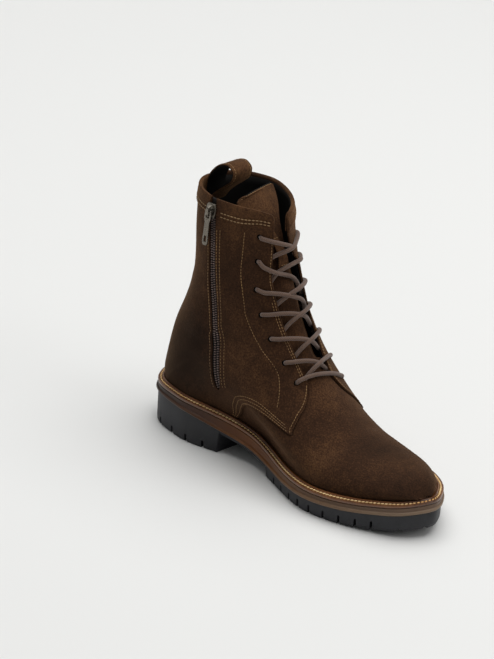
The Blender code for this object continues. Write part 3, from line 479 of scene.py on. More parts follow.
# Patches where the suede is painted lighter or darker: partly the nap's own tone, partly painted light on
# the lit toe and on the back of the shaft, and painted shade over the heel and in creases
NAP_LIGHT_AND_SHADE_PATCHES = (
    # x, y, z, reach, lighter or darker
    # painted light on the lit toe top, and painted shade in the crease behind it
    (236.0, -18.0, 44.0, 17.0, 0.12),
    (252.0, 0.0, 50.0, 14.0, 0.08),
    (214.0, -4.0, 52.0, 16.0, -0.10),
    (196.0, -36.0, 34.0, 20.0, 0.10),
    (170.0, -6.0, 72.0, 18.0, 0.06),
    # painted shade over the heel quarter and the inner side behind the waist, which lie in shadow
    (30.0, -26.0, 60.0, 34.0, -0.36),
    (62.0, -34.0, 88.0, 20.0, -0.20),
    (70.0, -36.0, 60.0, 22.0, -0.10),
    (104.0, -34.0, 82.0, 18.0, 0.08),
    # painted light on the back of the shaft, where the light grazes it
    (28.0, -8.0, 150.0, 22.0, 0.24),
    (34.0, -14.0, 192.0, 16.0, 0.20),
    (86.0, -26.0, 194.0, 16.0, 0.12),
    (108.0, 12.0, 188.0, 13.0, 0.24),
    (80.0, -30.0, 150.0, 22.0, -0.04),
    (96.0, -24.0, 125.0, 16.0, -0.08),
    (60.0, 0.0, 214.0, 20.0, 0.10),
    (76.0, 2.0, 198.0, 22.0, 0.12),
    (250.0, 0.0, 46.0, 40.0, -0.12),
)


def nap_light_and_shade_tone(mesh):
    """Where the suede is painted lighter or darker, for its nap and as painted light and shade, kept on the
    mesh for its material.
    """
    count = len(mesh.vertices)
    co = np.empty(count * 3, np.float32)
    mesh.vertices.foreach_get("co", co)
    p = co.reshape(-1, 3) * 1000 + (CENTRE_X, CENTRE_Y, 0.0)
    tone = np.zeros(count)
    for x, y, z, reach, amount in NAP_LIGHT_AND_SHADE_PATCHES:
        tone += amount * np.exp(-((p - (x, y, z))**2).sum(1) / reach**2)
    if "tone" in mesh.attributes:
        mesh.attributes.remove(mesh.attributes["tone"])
    layer = mesh.attributes.new("tone", "FLOAT", "POINT")
    layer.data.foreach_set("value", tone.astype(np.float32))


# Making pieces
def finish_mesh(bm, name, material, body="boot", angle=40):
    mesh = bpy.data.meshes.new(name)
    for v in bm.verts:
        v.co = Vector(((v.co.x - CENTRE_X) / 1000, (v.co.y - CENTRE_Y) / 1000, v.co.z / 1000))
    bm.to_mesh(mesh)
    bm.free()
    if material is suede:
        nap_light_and_shade_tone(mesh)
    obj = bpy.data.objects.new(name, mesh)
    bpy.context.scene.collection.objects.link(obj)
    mesh.materials.append(material)
    mesh.shade_smooth()
    if angle is not None:
        mesh.set_sharp_from_angle(angle=math.radians(angle))
    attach(obj, body)
    return obj


def laid(cells_a, cells_b, place, keep=None, shade=None, size=(100.0, 100.0)):
    """A grid laid where place puts it. place takes a and b from 0 to 1 and gives points."""
    bm = bmesh.new()
    bmesh.ops.create_grid(bm, x_segments=cells_a, y_segments=cells_b, size=0.5)
    bm.verts.ensure_lookup_table()
    ab = np.array([(v.co.x + 0.5, v.co.y + 0.5) for v in bm.verts])
    points = place(ab[:, 0], ab[:, 1])
    tone = None if shade is None else shade(ab[:, 0], ab[:, 1])
    layer = bm.verts.layers.float.new("tone")
    along = bm.loops.layers.uv.new("cloth")
    faces = list(bm.faces)
    drop = []
    if keep is not None:
        middle = np.array([f.calc_center_median() for f in faces]) + 0.5
        kept = keep(middle[:, 0], middle[:, 1])
        drop = [f for f, k in zip(faces, kept) if not k]
    for face in faces:
        for loop in face.loops:
            a, b = ab[loop.vert.index]
            loop[along].uv = (a * size[0] / 10, b * size[1] / 10)
    for i, v in enumerate(bm.verts):
        v.co = Vector(points[i])
        if tone is not None:
            v[layer] = float(tone[i])
    if drop:
        bmesh.ops.delete(bm, geom=drop, context="FACES")
    return bm


def weld(bm, reach=0.01):
    """Join doubled points and take out faces without area."""
    bmesh.ops.remove_doubles(bm, verts=bm.verts, dist=reach)
    thin = [f for f in bm.faces if f.calc_area() < 1e-9]
    bmesh.ops.delete(bm, geom=thin, context="FACES_ONLY")


def face_out(bm, away_from):
    """Turn an open sheet so that its faces look away from a point or line."""
    total = 0.0
    for f in bm.faces:
        c = f.calc_center_median()
        total += f.calc_area() * f.normal.dot(c - away_from(c))
    if total < 0:
        bmesh.ops.reverse_faces(bm, faces=bm.faces)


def inside_line(c):
    """Middle of the boot level with a point: along the foot, and up the shaft above the ankle."""
    ankle = 90
    if c.z > ankle:
        return Vector((68, -2.0, min(c.z, 200)))
    return Vector((min(max(c.x, 30), 240), -2.0, 25))


def joined_halves(half):
    """Both sides of a piece in one mesh, sewn together at the back seam."""
    both = bmesh.new()
    for sign in (-1, 1):
        bm = half(sign)
        mesh = bpy.data.meshes.new("half")
        bm.to_mesh(mesh)
        bm.free()
        both.from_mesh(mesh)
        bpy.data.meshes.remove(mesh)
    seam = [v for v in both.verts if abs(v.co.y) < 0.02 and v.co.x < 60]
    bmesh.ops.remove_doubles(both, verts=seam, dist=0.05)
    return both


def grains(spots):
    """Small balls in one mesh, one for each point, its three axes and its three half sizes."""
    grain = bpy.data.meshes.new("grain")
    one = bmesh.new()
    bmesh.ops.create_uvsphere(one, u_segments=6, v_segments=4, radius=1.0)
    one.to_mesh(grain)
    one.free()
    bm = bmesh.new()
    for at, axes, size in spots:
        turn = Matrix(axes).transposed().to_4x4()
        spot = Matrix.Translation(at) @ turn @ Matrix.Diagonal((*size, 1.0))
        grain.transform(spot)
        bm.from_mesh(grain)
        grain.transform(spot.inverted())
    bpy.data.meshes.remove(grain)
    return bm


def soften(obj, width, angle):
    """Round the edges that turn by more than an angle in degrees."""
    mod = obj.modifiers.new("soft_edge", "BEVEL")
    mod.width = width / 1000
    mod.segments = 2
    mod.limit_method = "ANGLE"
    mod.angle_limit = math.radians(angle)


def thicken(obj, thick, round_edge=0.0):
    """Give a sheet its wall, behind its face."""
    mod = obj.modifiers.new("thickness", "SOLIDIFY")
    mod.thickness = thick / 1000
    mod.offset = -1.0
    mod.use_quality_normals = True
    if round_edge:
        soften(obj, round_edge, 50)


def linear(code):
    """sRGB hex to linear colour."""
    out = []
    for k in (0, 2, 4):
        c = int(code[k:k + 2], 16) / 255
        out.append(c / 12.92 if c <= 0.04045 else ((c + 0.055) / 1.055)**2.4)
    return (*out, 1.0)


def add(tree, kind, settings=None, links=None):
    """One node with its settings and its inputs, each a value or another node's output."""
    made = tree.nodes.new(kind)
    for key, value in (settings or {}).items():
        if key == "stops":
            colours = made.color_ramp.elements
            for end, (at, code) in ((colours[0], value[0]), (colours[1], value[-1])):
                end.position = at
                end.color = linear(code)
            for at, code in value[1:-1]:
                colours.new(at).color = linear(code)
        else:
            setattr(made, key, value)
    for key, value in (links or {}).items():
        if isinstance(value, bpy.types.NodeSocket):
            tree.links.new(value, made.inputs[key])
        else:
            made.inputs[key].default_value = value
    return made


def new_material(name):
    mat = bpy.data.materials.new(name)
    mat.use_nodes = True
    mat.node_tree.nodes.clear()
    return mat, mat.node_tree


# Suede: split leather sanded to a short nap, matt, with clouds where the nap lies lighter or darker, and
# with the painted light and shade of the mesh's tone
def suede_material(name, dark, middle, light):
    """Clouds 30 mm wide, brushed marks 7 mm, and a nap of 1.2 mm, coarser than real so that it shows."""
    mat, tree = new_material(name)
    place = add(tree, "ShaderNodeTexCoord")
    # tone: the nap patches and the painted light and shade laid on the mesh
    tone = add(tree, "ShaderNodeAttribute", {"attribute_name": "tone"})
    mixed = add(tree, "ShaderNodeMath", {"operation": "ADD"}, {0: tone.outputs["Fac"], 1: -0.26})
    for scale, detail, rough, share in (
            (32.0, 5.0, 0.55, 0.38),
            (150.0, 4.0, 0.6, 0.32),
            (850.0, 3.0, 0.7, 0.80)):
        nap = add(tree, "ShaderNodeTexNoise", None, {
            "Vector": place.outputs["Object"], "Scale": scale, "Detail": detail, "Roughness": rough})
        mixed = add(tree, "ShaderNodeMath", {"operation": "MULTIPLY_ADD"}, {
            0: nap.outputs["Fac"], 1: share, 2: mixed.outputs[0]})
    colour = add(tree, "ShaderNodeValToRGB", {
        "stops": [(0.18, dark), (0.5, middle), (0.85, light)]}, {"Fac": mixed.outputs[0]})
    bump = add(tree, "ShaderNodeBump", None, {
        "Height": nap.outputs["Fac"], "Strength": 0.5, "Distance": 0.0006})
    shader = add(tree, "ShaderNodeBsdfPrincipled", None, {
        "Base Color": colour.outputs["Color"], "Roughness": 0.95, "Specular IOR Level": 0.15,
        "Sheen Weight": 0.32, "Sheen Roughness": 0.4, "Sheen Tint": linear("b98f66"),
        "Normal": bump.outputs["Normal"]})
    add(tree, "ShaderNodeOutputMaterial", None, {"Surface": shader.outputs[0]})
    return mat


# A grained finish, for textile, rubber, thread and leather board
def grained_material(name, dark, light, rough, grain, depth, specular=0.5, coat=0.0):
    """So many grains a metre, as coarse as they need to be to show, over clouds 25 mm wide."""
    mat, tree = new_material(name)
    place = add(tree, "ShaderNodeTexCoord")
    fine = add(tree, "ShaderNodeTexNoise", None, {
        "Vector": place.outputs["Object"], "Scale": grain, "Detail": 3.0, "Roughness": 0.6})
    wide = add(tree, "ShaderNodeTexNoise", None, {
        "Vector": place.outputs["Object"], "Scale": 40.0, "Detail": 4.0, "Roughness": 0.6})
    both = add(tree, "ShaderNodeMath", {"operation": "MULTIPLY_ADD"}, {
        0: fine.outputs["Fac"], 1: 0.4, 2: wide.outputs["Fac"]})
    colour = add(tree, "ShaderNodeValToRGB", {
        "stops": [(0.45, dark), (0.95, light)]}, {"Fac": both.outputs[0]})
    worn = add(tree, "ShaderNodeMapRange", None, {
        "Value": wide.outputs["Fac"], "To Min": rough - 0.08, "To Max": rough + 0.08})
    bump = add(tree, "ShaderNodeBump", None, {
        "Height": fine.outputs["Fac"], "Strength": 0.4, "Distance": depth})
    shader = add(tree, "ShaderNodeBsdfPrincipled", None, {
        "Base Color": colour.outputs["Color"], "Roughness": worn.outputs["Result"],
        "Specular IOR Level": specular, "Coat Weight": coat, "Coat Roughness": 0.3,
        "Normal": bump.outputs["Normal"]})
    add(tree, "ShaderNodeOutputMaterial", None, {"Surface": shader.outputs[0]})
    return mat


suede = suede_material("brown_suede", "1c1008", "392416", "63442a")
# Textile lining: plain black cloth, matt, so that the inside stays deep
lining = grained_material("black_textile_lining", "0a0908", "17130f", 0.9, 1500.0, 0.0002, 0.2)
# Moulded rubber: nearly black, faintly blue, with a soft low shine
rubber = grained_material("black_moulded_rubber", "17171a", "2a2a2e", 0.55, 900.0, 0.00015, 0.4)


# Midsole: brown rubber sheet with a waxed trim, so it has a soft gloss
def midsole_material():
    """Dark at the heel, orange at the waist and greyer at the toe, lightened there as painted light on the
    lit toe end, and lighter on its flared lip.
    """
    mat, tree = new_material("brown_midsole_rubber")
    place = add(tree, "ShaderNodeTexCoord")
    fine = add(tree, "ShaderNodeTexNoise", None, {
        "Vector": place.outputs["Object"], "Scale": 700.0, "Detail": 3.0})
    wide = add(tree, "ShaderNodeTexNoise", None, {
        "Vector": place.outputs["Object"], "Scale": 45.0, "Detail": 4.0})
    lip = add(tree, "ShaderNodeAttribute", {"attribute_name": "tone"})
    split = add(tree, "ShaderNodeSeparateXYZ", None, {"Vector": place.outputs["Object"]})
    length = add(tree, "ShaderNodeMapRange", None, {
        "Value": split.outputs["X"], "From Min": -0.139, "From Max": 0.139})
    cloudy = add(tree, "ShaderNodeMath", {"operation": "MULTIPLY_ADD"}, {
        0: wide.outputs["Fac"], 1: 0.12, 2: length.outputs["Result"]})
    # in both ramps the stops at the toe end are lightened: painted light where the toe is lit
    upper_tone = add(tree, "ShaderNodeValToRGB", {"stops": [
        (0.06, "271b13"), (0.30, "3d210f"), (0.48, "633609"), (0.66, "5c3a1d"), (0.80, "5a4330"),
        (1.0, "655040")]}, {"Fac": cloudy.outputs[0]})
    lip_tone = add(tree, "ShaderNodeValToRGB", {"stops": [
        (0.06, "33221a"), (0.30, "4a2c14"), (0.48, "6d4113"), (0.66, "694a2f"), (1.0, "78634f")]},
        {"Fac": cloudy.outputs[0]})
    colour = add(tree, "ShaderNodeMix", {"data_type": "RGBA"}, {"Factor": lip.outputs["Fac"]})
    tree.links.new(upper_tone.outputs["Color"], colour.inputs[6])
    tree.links.new(lip_tone.outputs["Color"], colour.inputs[7])
    bump = add(tree, "ShaderNodeBump", None, {
        "Height": fine.outputs["Fac"], "Strength": 0.3, "Distance": 0.0001})
    shader = add(tree, "ShaderNodeBsdfPrincipled", None, {
        "Base Color": colour.outputs[2], "Roughness": 0.45, "Specular IOR Level": 0.28,
        "Normal": bump.outputs["Normal"]})
    add(tree, "ShaderNodeOutputMaterial", None, {"Surface": shader.outputs[0]})
    return mat


midsole_brown = midsole_material()
# Waxed welt leather: warm brown, with a narrow gloss along its edge
welt_brown = grained_material("waxed_welt_leather", "46260f", "7e4d22", 0.34, 500.0, 0.0001, 0.5, 0.25)
# Sock leather on the footbed: dark and dull
board = grained_material("sock_leather", "241a12", "35281c", 0.75, 700.0, 0.0002)
# Sewing thread: paler than the suede, and palest at the collar
pale_thread = grained_material("pale_collar_thread", "6b5235", "a5845c", 0.7, 2500.0, 0.0001)
thread = grained_material("brown_thread", "664a2c", "9e794a", 0.7, 2500.0, 0.0001)
# Thick tan welt thread: the lightest line on the boot
welt_thread = grained_material("tan_welt_thread", "c08c4c", "ffe2ab", 0.6, 2500.0, 0.0001)
# Woven zip tape and its nylon coil: a dark strip with a greyer, slightly shiny ladder on it
tape_cloth = grained_material("woven_zip_tape", "0f0b09", "1d1612", 0.85, 1800.0, 0.0002)
coil_nylon = grained_material("nylon_zip_coil", "5a4741", "8f7a72", 0.4, 800.0, 0.0001)


# Round braided cotton lace: plaited strands about a millimetre wide, matt, with a soft pale edge
def lace_material():
    mat, tree = new_material("braided_cotton_lace")
    place = add(tree, "ShaderNodeUVMap", {"uv_map": "cloth"})
    turned = []
    for angle in (0.9, -0.9):
        mapped = add(tree, "ShaderNodeMapping", None, {
            "Vector": place.outputs["UV"], "Rotation": (0.0, 0.0, angle)})
        wave = add(tree, "ShaderNodeTexWave", None, {
            "Vector": mapped.outputs["Vector"], "Scale": 3.2, "Distortion": 0.4, "Detail": 1.0})
        turned.append(wave)
    plait = add(tree, "ShaderNodeMath", {"operation": "MAXIMUM"}, {
        0: turned[0].outputs["Fac"], 1: turned[1].outputs["Fac"]})
    spot = add(tree, "ShaderNodeTexCoord")
    fuzz = add(tree, "ShaderNodeTexNoise", None, {
        "Vector": spot.outputs["Object"], "Scale": 900.0, "Detail": 3.0})
    both = add(tree, "ShaderNodeMath", {"operation": "MULTIPLY_ADD"}, {
        0: fuzz.outputs["Fac"], 1: 0.6, 2: plait.outputs[0]})
    colour = add(tree, "ShaderNodeValToRGB", {
        "stops": [(0.35, "2f221b"), (1.0, "6a5549")]}, {"Fac": both.outputs[0]})
    bump = add(tree, "ShaderNodeBump", None, {
        "Height": plait.outputs[0], "Strength": 0.5, "Distance": 0.0002})
    shader = add(tree, "ShaderNodeBsdfPrincipled", None, {
        "Base Color": colour.outputs["Color"], "Roughness": 0.85, "Specular IOR Level": 0.25,
        "Sheen Weight": 0.25, "Sheen Roughness": 0.5, "Normal": bump.outputs["Normal"]})
    add(tree, "ShaderNodeOutputMaterial", None, {"Surface": shader.outputs[0]})
    return mat


lace_cotton = lace_material()


# Antique nickel: plated and darkened die-cast zinc, which shines unevenly
def nickel_material():
    mat, tree = new_material("antique_nickel")
    place = add(tree, "ShaderNodeTexCoord")
    wear = add(tree, "ShaderNodeTexNoise", None, {
        "Vector": place.outputs["Object"], "Scale": 1800.0, "Detail": 4.0})
    colour = add(tree, "ShaderNodeValToRGB", {
        "stops": [(0.3, "5a554e"), (0.7, "8f887d")]}, {"Fac": wear.outputs["Fac"]})
    rough = add(tree, "ShaderNodeMapRange", None, {
        "Value": wear.outputs["Fac"], "To Min": 0.18, "To Max": 0.38})
    shader = add(tree, "ShaderNodeBsdfPrincipled", None, {
        "Base Color": colour.outputs["Color"], "Metallic": 1.0, "Roughness": rough.outputs["Result"]})
    add(tree, "ShaderNodeOutputMaterial", None, {"Surface": shader.outputs[0]})
    return mat


nickel = nickel_material()


# Vamp: one piece from the toe to under the quarters
def vamp():
    def place(a, b):
        u = 2 * a - 1
        s = b**1.25 * (quarter_edge(u) + 0.045)
        throat = smooth(0.17, 0.12, np.abs(u)) * smooth(0.484, 0.515, s)
        before = (quarter_edge(u) - s) * S_LONG
        tuck = -1.0 * np.exp(-(before / 1.3)**2) * smooth(0.10, 0.16, np.abs(u))
        return over(s, u, tuck - 2.6 * throat)

    bm = laid(120, 170, place)
    weld(bm)
    face_out(bm, inside_line)
    thicken(finish_mesh(bm, "vamp", suede), 1.4)


# Long seams down the quarters, as (s, u)
SEAMS = {
    "inner": ((0.955, -0.335), (0.900, -0.338), (0.815, -0.300), (0.685, -0.300), (0.605, -0.307),
              (0.535, -0.300), (0.515, -0.333), (0.492, -0.407)),
    "outer": ((0.955, 0.385), (0.865, 0.380), (0.735, 0.393), (0.575, 0.347), (0.520, 0.350),
              (0.492, 0.420)),
}
ZIP_ROWS = (-4.7, 4.5, 7.3)             # stitch rows behind and before the zip
FACING_ROWS = (1.5, 3.7)                # stitch rows from the facing's edge


def pucker(s, u):
    """Shallow troughs where the seams pull the suede in."""
    out = np.zeros(np.shape(s))
    for points in SEAMS.values():
        q = np.array(points) * (S_LONG, U_WIDE)
        near = np.full(np.shape(s), 99.0)
        for a, b in zip(q[:-1], q[1:]):
            d = b - a
            x, y = s * S_LONG - a[0], u * U_WIDE - a[1]
            f = np.clip((x * d[0] + y * d[1]) / (d @ d), 0, 1)
            near = np.minimum(near, np.hypot(x - f * d[0], y - f * d[1]))
        out = out - 0.35 * np.exp(-(near / 1.1)**2)
    beside = (u - zip_u(s)) / zip_across(s, 1.0)
    zipped = smooth(0.68, 0.74, s) * (u < 0)
    for row in ZIP_ROWS:
        out = out - 0.25 * np.exp(-((beside - row) / 0.9)**2) * zipped
    edge = (np.abs(u) - facing_edge(s)) * U_WIDE
    for row in FACING_ROWS:
        out = out - 0.2 * np.exp(-((edge - row) / 0.8)**2) * smooth(0.47, 0.5, s)
    return out


def quarter(sign):
    """One quarter, from its facing round to the back seam. The inner one has the zip's slit."""
    rows = 150
    front, slit, rear = (56, 2, 46) if sign < 0 else (102, 0, 0)
    cols = front + slit + rear
    # the slit's half width at each height, rounded over its lowest 4 mm
    heights = np.linspace(0.4, 1.0, 240)
    line = zip_u(heights)
    above = np.clip((heights - ZIP_END) * S_LONG / 4.0, 0, 1)
    halves = zip_across(heights, 0.3 + ZIP_HALF * np.sqrt(1 - (1 - above)**2))

    def column(s, k):
        """How far round column k of the grid is at s."""
        if sign > 0:
            edge = outer_edge(s)
            return edge + (1 - edge) * k / cols
        edge = facing_edge(s)
        mid = -np.interp(s, heights, line)
        half = np.interp(s, heights, halves)
        u = edge + (mid - half - edge) * np.clip(k / front, 0, 1)
        u = np.where(k > front, mid - half + 2 * half * np.clip((k - front) / slit, 0, 1), u)
        return np.where(k > front + slit, mid + half + (1 - mid - half) * (k - front - slit) / rear, u)

    def su(a, b):
        """The grid's s and u, found by halving: a row's s depends on u, and a column's u on s."""
        low, high = np.full_like(a, 0.40), np.full_like(a, 1.02)
        for _ in range(24):
            s = (low + high) / 2
            u = np.clip(column(s, a * cols), 0.03, 1.0)
            below = s < quarter_edge(u) + (rim(sign * u) - quarter_edge(u)) * b
            low = np.where(below, s, low)
            high = np.where(below, high, s)
        return s, u

    def place(a, b):
        s, u = su(a, b)
        wide = stretch(s, sign * u)[1]
        seam = np.where(s > BACK_S, (1 - u) * wide, 99.0)
        groove = -0.6 * np.exp(-(seam / 1.0)**2)
        h = QUARTER_STEP + groove + pucker(s, sign * u)
        p = on_quarter(s, sign * u, h)
        feather = (s < BACK_S) & (u > 0.9999)
        p[feather, 2] = welt_top(p[feather, 0]) + GAP
        back = (s >= BACK_S - 1e-6) & (u > 0.9999)
        p[back, 1] = 0.0
        return p

    def keep(a, b):
        if sign > 0:
            return np.ones(len(a), bool)
        k = a * cols
        return ~((front < k) & (k < front + slit) & (su(a, b)[0] > ZIP_END))

    bm = laid(cols, rows, place, keep)
    for row in range(len(EYELETS)):
        punch(bm, on_quarter(*eyelet(row, sign), QUARTER_STEP), EYELET_RADIUS)
    face_out(bm, inside_line)
    return bm


def punch(bm, centre, radius):
    """Round hole: faces inside the circle go, and its border is drawn onto the circle."""
    c = Vector(centre)
    near = [f for f in bm.faces if (f.calc_center_median() - c).length < radius]
    bmesh.ops.delete(bm, geom=near, context="FACES")
    reach = radius + 1.6                # takes in the border's points, a face's width away
    for v in bm.verts:
        d = v.co - c
        if v.is_boundary and d.length < reach:
            n = v.normal
            flat = d - n * d.dot(n)
            if flat.length > 1e-6:
                v.co += flat.normalized() * radius - flat


def quarters():
    obj = finish_mesh(joined_halves(quarter), "quarters", suede)
    thicken(obj, 1.3, 0.35)
    return obj


def shell(sign):
    """Lining of one side, from the rim down into the shoe."""
    side = outer_edge if sign > 0 else facing_edge
    throat = FACING[0][0]

    def place(a, b):
        s = 0.05 + (rim(sign * a) - 0.05) * b - 0.004
        edge = np.where(s > throat, side(np.maximum(s, throat)), 0.0)
        edge = edge + 0.06 * smooth(0.85, 0.89, s)
        u = edge + (1 - edge) * a
        p = over(s, sign * u, lift(s, sign * u) * (s > 0.49) - 1.45)
        p[:, 2] = np.maximum(p[:, 2], welt_top(p[:, 0]) + GAP)
        p[(u > 0.9999) & (s > BACK_S), 1] = 0.0
        return p

    return laid(60, 100, place)


def lining_piece():
    both = joined_halves(shell)
    face_out(both, inside_line)
    thicken(finish_mesh(both, "lining", lining), 0.5)


BAND_ROWS = (9.0, 12.0)                 # stitch rows below the collar's rim
BAND_TURN = 1.5                         # radius of the fold over the rim
BAND_INSIDE = 9.0                       # how far it goes down inside


def nearer(u):
    """The band's stitch rows come nearer to the rim towards the facing's corner."""
    return 1 - 0.30 * smooth(0.40, 0.17, np.abs(u))


# Folded collar band: up the outside, over the rim and down inside
def band_half(sign):
    side = outer_edge if sign > 0 else facing_edge
    out = BAND_HIGH - BAND_TURN
    arc = math.pi * BAND_TURN

    def round_to_back(a):
        """How far round a column of the grid is: closer together at the facing."""
        edge = side(np.full_like(a, 0.97))
        return edge + (1 - edge) * a**1.5

    def place(a, b):
        u = sign * round_to_back(a)
        s1 = stretch(np.full_like(a, 0.98), u)[0]
        top = rim(u)
        # length along the profile: outside, half circle, inside
        d = b * (out + arc + BAND_INSIDE)
        up = np.clip(d, 0, out)
        phi = np.clip((d - out) / BAND_TURN, 0, math.pi)
        down = np.clip(d - out - arc, 0, BAND_INSIDE)
        s = top - (BAND_HIGH - up) / s1
        t = upper(top, u) - upper(top - 0.01, u)
        t /= np.linalg.norm(t, axis=1)[:, None]
        puff = np.zeros_like(d)
        for row in BAND_ROWS:
            puff = puff - 0.45 * np.exp(-((BAND_HIGH - d - row * nearer(u)) / 0.8)**2)
        puff = puff + 0.45 * smooth(0, 4, d) * smooth(out, out - 5, d) - 0.5 * smooth(1.5, 0, d)
        h = BAND_STEP + 0.1 - BAND_TURN + BAND_TURN * np.cos(phi) + puff * (phi == 0)
        rise = BAND_TURN * np.sin(phi) - down
        p = on_quarter(s, u, 0.0) + normal(s, u) * h[:, None] + t * rise[:, None]
        p[a > 0.9999, 1] = 0.0
        return p

    def keep(a, b):
        """The inner side's band stops on both sides of the zip."""
        if sign > 0:
            return np.ones(len(a), bool)
        mid = abs(float(zip_u(0.985)))
        half = 3.4 / float(stretch(np.array(0.985), np.array(-mid))[1])
        return abs(round_to_back(a) - mid) > half

    bm = laid(110, 44, place, keep)
    bm.faces.ensure_lookup_table()
    first = bm.faces[0]
    at = first.calc_center_median()
    if first.normal.dot(at - inside_line(at)) < 0:
        bmesh.ops.reverse_faces(bm, faces=bm.faces)
    return bm


def collar_band():
    thicken(finish_mesh(joined_halves(band_half), "collar_band", suede), 0.9, 0.3)


# Tongue
def tongue_point(step, w, depth):
    """Point of the tongue: step up its table, w from its inner edge (-1) to its outer one (1)."""
    w = np.asarray(w, float)
    depth = np.asarray(depth)[..., None]
    s, lean, reach = (table(TONGUE, 0, column, step) for column in (1, 2, 3))
    outside = smooth(0.7, 1.6, step) * smooth(8.3, 7.2, step) * (w > 0)
    u = w * reach * (1 - 0.60 * outside)
    inside = WALL + GAP + 0.35 + 2.4 * smooth(0.3, 1.0, w) * outside
    p = upper(s, u) - normal(s, u) * (inside[..., None] + depth)
    top = smooth(6.0, 9.0, step)
    p[..., 0] -= lean * (1 - 0.72 * w * w)
    p[..., 1] = p[..., 1] * (1 - 0.10 * top)
    p[..., 2] += top * (6.5 - 7.0 * w * w)
    # its free end runs into a nearly straight line across the collar
    flat = smooth(6.6, 9.0, step)[..., None]
    line = np.stack([75.5 - 4.0 * w - 2.5 * w * w, 2.0 + 22.0 * w, 199.5 + 1.0 * w - 3.0 * w * w], -1)
    line = line - np.array((0.9, 0.0, -0.2)) * depth
    return p * (1 - flat) + line * flat


def behind_tongue(c):
    """A point behind and under one of the tongue's, which slopes back."""
    return c + Vector((-1, 0, -0.3))


def tongue():
    for name, cells, last, wide, depth, material, thick, edge in (
            ("tongue_suede", (44, 110), 8.4, 1.0, 0.0, suede, 1.3, 0.4),
            ("tongue_lining", (30, 70), 8.3, 0.98, 1.5, lining, 0.6, 0.0)):

        def place(a, b):
            w = (2 * a - 1) * wide * (1 - 0.10 * smooth(0.93, 1.0, b))
            return tongue_point(0.6 + last * b, w, np.full_like(a, depth))

        bm = laid(*cells, place)
        face_out(bm, behind_tongue)
        obj = finish_mesh(bm, name, material)
        thicken(obj, thick, edge)
        if material is suede:
            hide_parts("tongue")
    row = tongue_point(np.full(60, 8.80), np.linspace(-0.86, 0.86, 60), np.full(60, -0.05))
    stitches("tongue_stitching", [(row, np.tile((0.8, -0.1, 0.6), (60, 1)))], 2.4, 0.34, thread)


# A round cord along points, with its ends closed
def cord(name, points, radius, material, sides=14, per=3):
    p = np.array(points, float)
    at = np.concatenate([[0.0], np.cumsum(np.linalg.norm(np.diff(p, axis=0), axis=1))])
    n = max(8, int(at[-1] / per * 4))
    fine = np.stack([hermite(at, p[:, k], np.linspace(0, at[-1], n + 1)) for k in range(3)], 1)
    tangent = np.gradient(fine, axis=0)
    tangent /= np.linalg.norm(tangent, axis=1)[:, None]
    frames = []
    ref = np.cross(tangent[0], (0.3, 0.2, 1.0))
    ref /= np.linalg.norm(ref)
    for t in tangent:
        ref = ref - t * ref.dot(t)
        ref /= np.linalg.norm(ref)
        frames.append((ref.copy(), np.cross(t, ref)))
    frames = np.array(frames)

    def place(a, b):
        i = np.clip(np.rint(b * n).astype(int), 0, n)
        w = 2 * math.pi * a
        close = np.where((i == 0) | (i == n), 0.55, 1.0)
        r = radius * close
        return fine[i] + frames[i, 0] * (np.cos(w) * r)[:, None] + frames[i, 1] * (np.sin(w) * r)[:, None]

    bm = laid(sides, n, place, size=(2 * math.pi * radius, at[-1]))
    weld(bm)
    bmesh.ops.holes_fill(bm, edges=[e for e in bm.edges if e.is_boundary], sides=0)
    bmesh.ops.recalc_face_normals(bm, faces=bm.faces)
    return finish_mesh(bm, name, material, angle=60)


LACE_OVER = QUARTER_STEP + LACE / 2 - 0.1
LACE_DROP = (0.0, 1.0, 1.05, 1.1, 1.5, 1.9, 0.9)   # share of a row that each crossing falls


def eyelet(row, sign):
    """Place of an eyelet. The outer facing's sit a little lower, where the lace has pulled it down."""
    s, inner, outer = EYELETS[row]
    return (s, inner) if sign < 0 else (s - 0.014, outer)


def lace_end(s, u, back):
    """The lace's first points: up through an eyelet and over its edge, towards the other facing."""
    hole = on_quarter(s, u, QUARTER_STEP)
    away = on_quarter(s - back, u * 0.9, QUARTER_STEP) - hole
    away /= np.linalg.norm(away)
    n = normal(s, u)
    return [hole - n * 4.2 + away * 0.6, hole - n * 1.6 + away * 0.8, hole + n * 0.7 + away * 1.9]


def lace_strand(row, sign, lift_mm):
    """Up through an eyelet, across the gap and down under the other facing, one row lower."""
    s1, u1 = eyelet(row, sign)
    s0 = eyelet(row - 1, sign)[0]
    low = s1 - (s1 - s0) * (LACE_DROP[row] if sign < 0 else 0.85)
    u0 = -math.copysign(float(facing_edge(low)) + 0.03, u1)
    points = lace_end(s1, u1, 0.004)
    for k in range(1, 12):
        t = k / 11 if k > 1 else 0.115
        s = s1 + (low - s1) * (t**0.82 if sign < 0 and row < 5 else t)
        u = u1 + (u0 - u1) * t
        drop = smooth(0.55, 1.0, t) * 4.0
        hump = lift_mm * math.exp(-((t - 0.58) / 0.2)**2)
        q = over(s, u, LACE_OVER - drop + hump + lift(s, u) * (1 - smooth(0.5, 1.0, t)))
        if row == 5:
            # both strands sag backwards over the open throat
            q[0] -= 5.2 * math.sin(math.pi * min(max((t - 0.30) / 0.66, 0.0), 1.0))
        points.append(q)
    return points


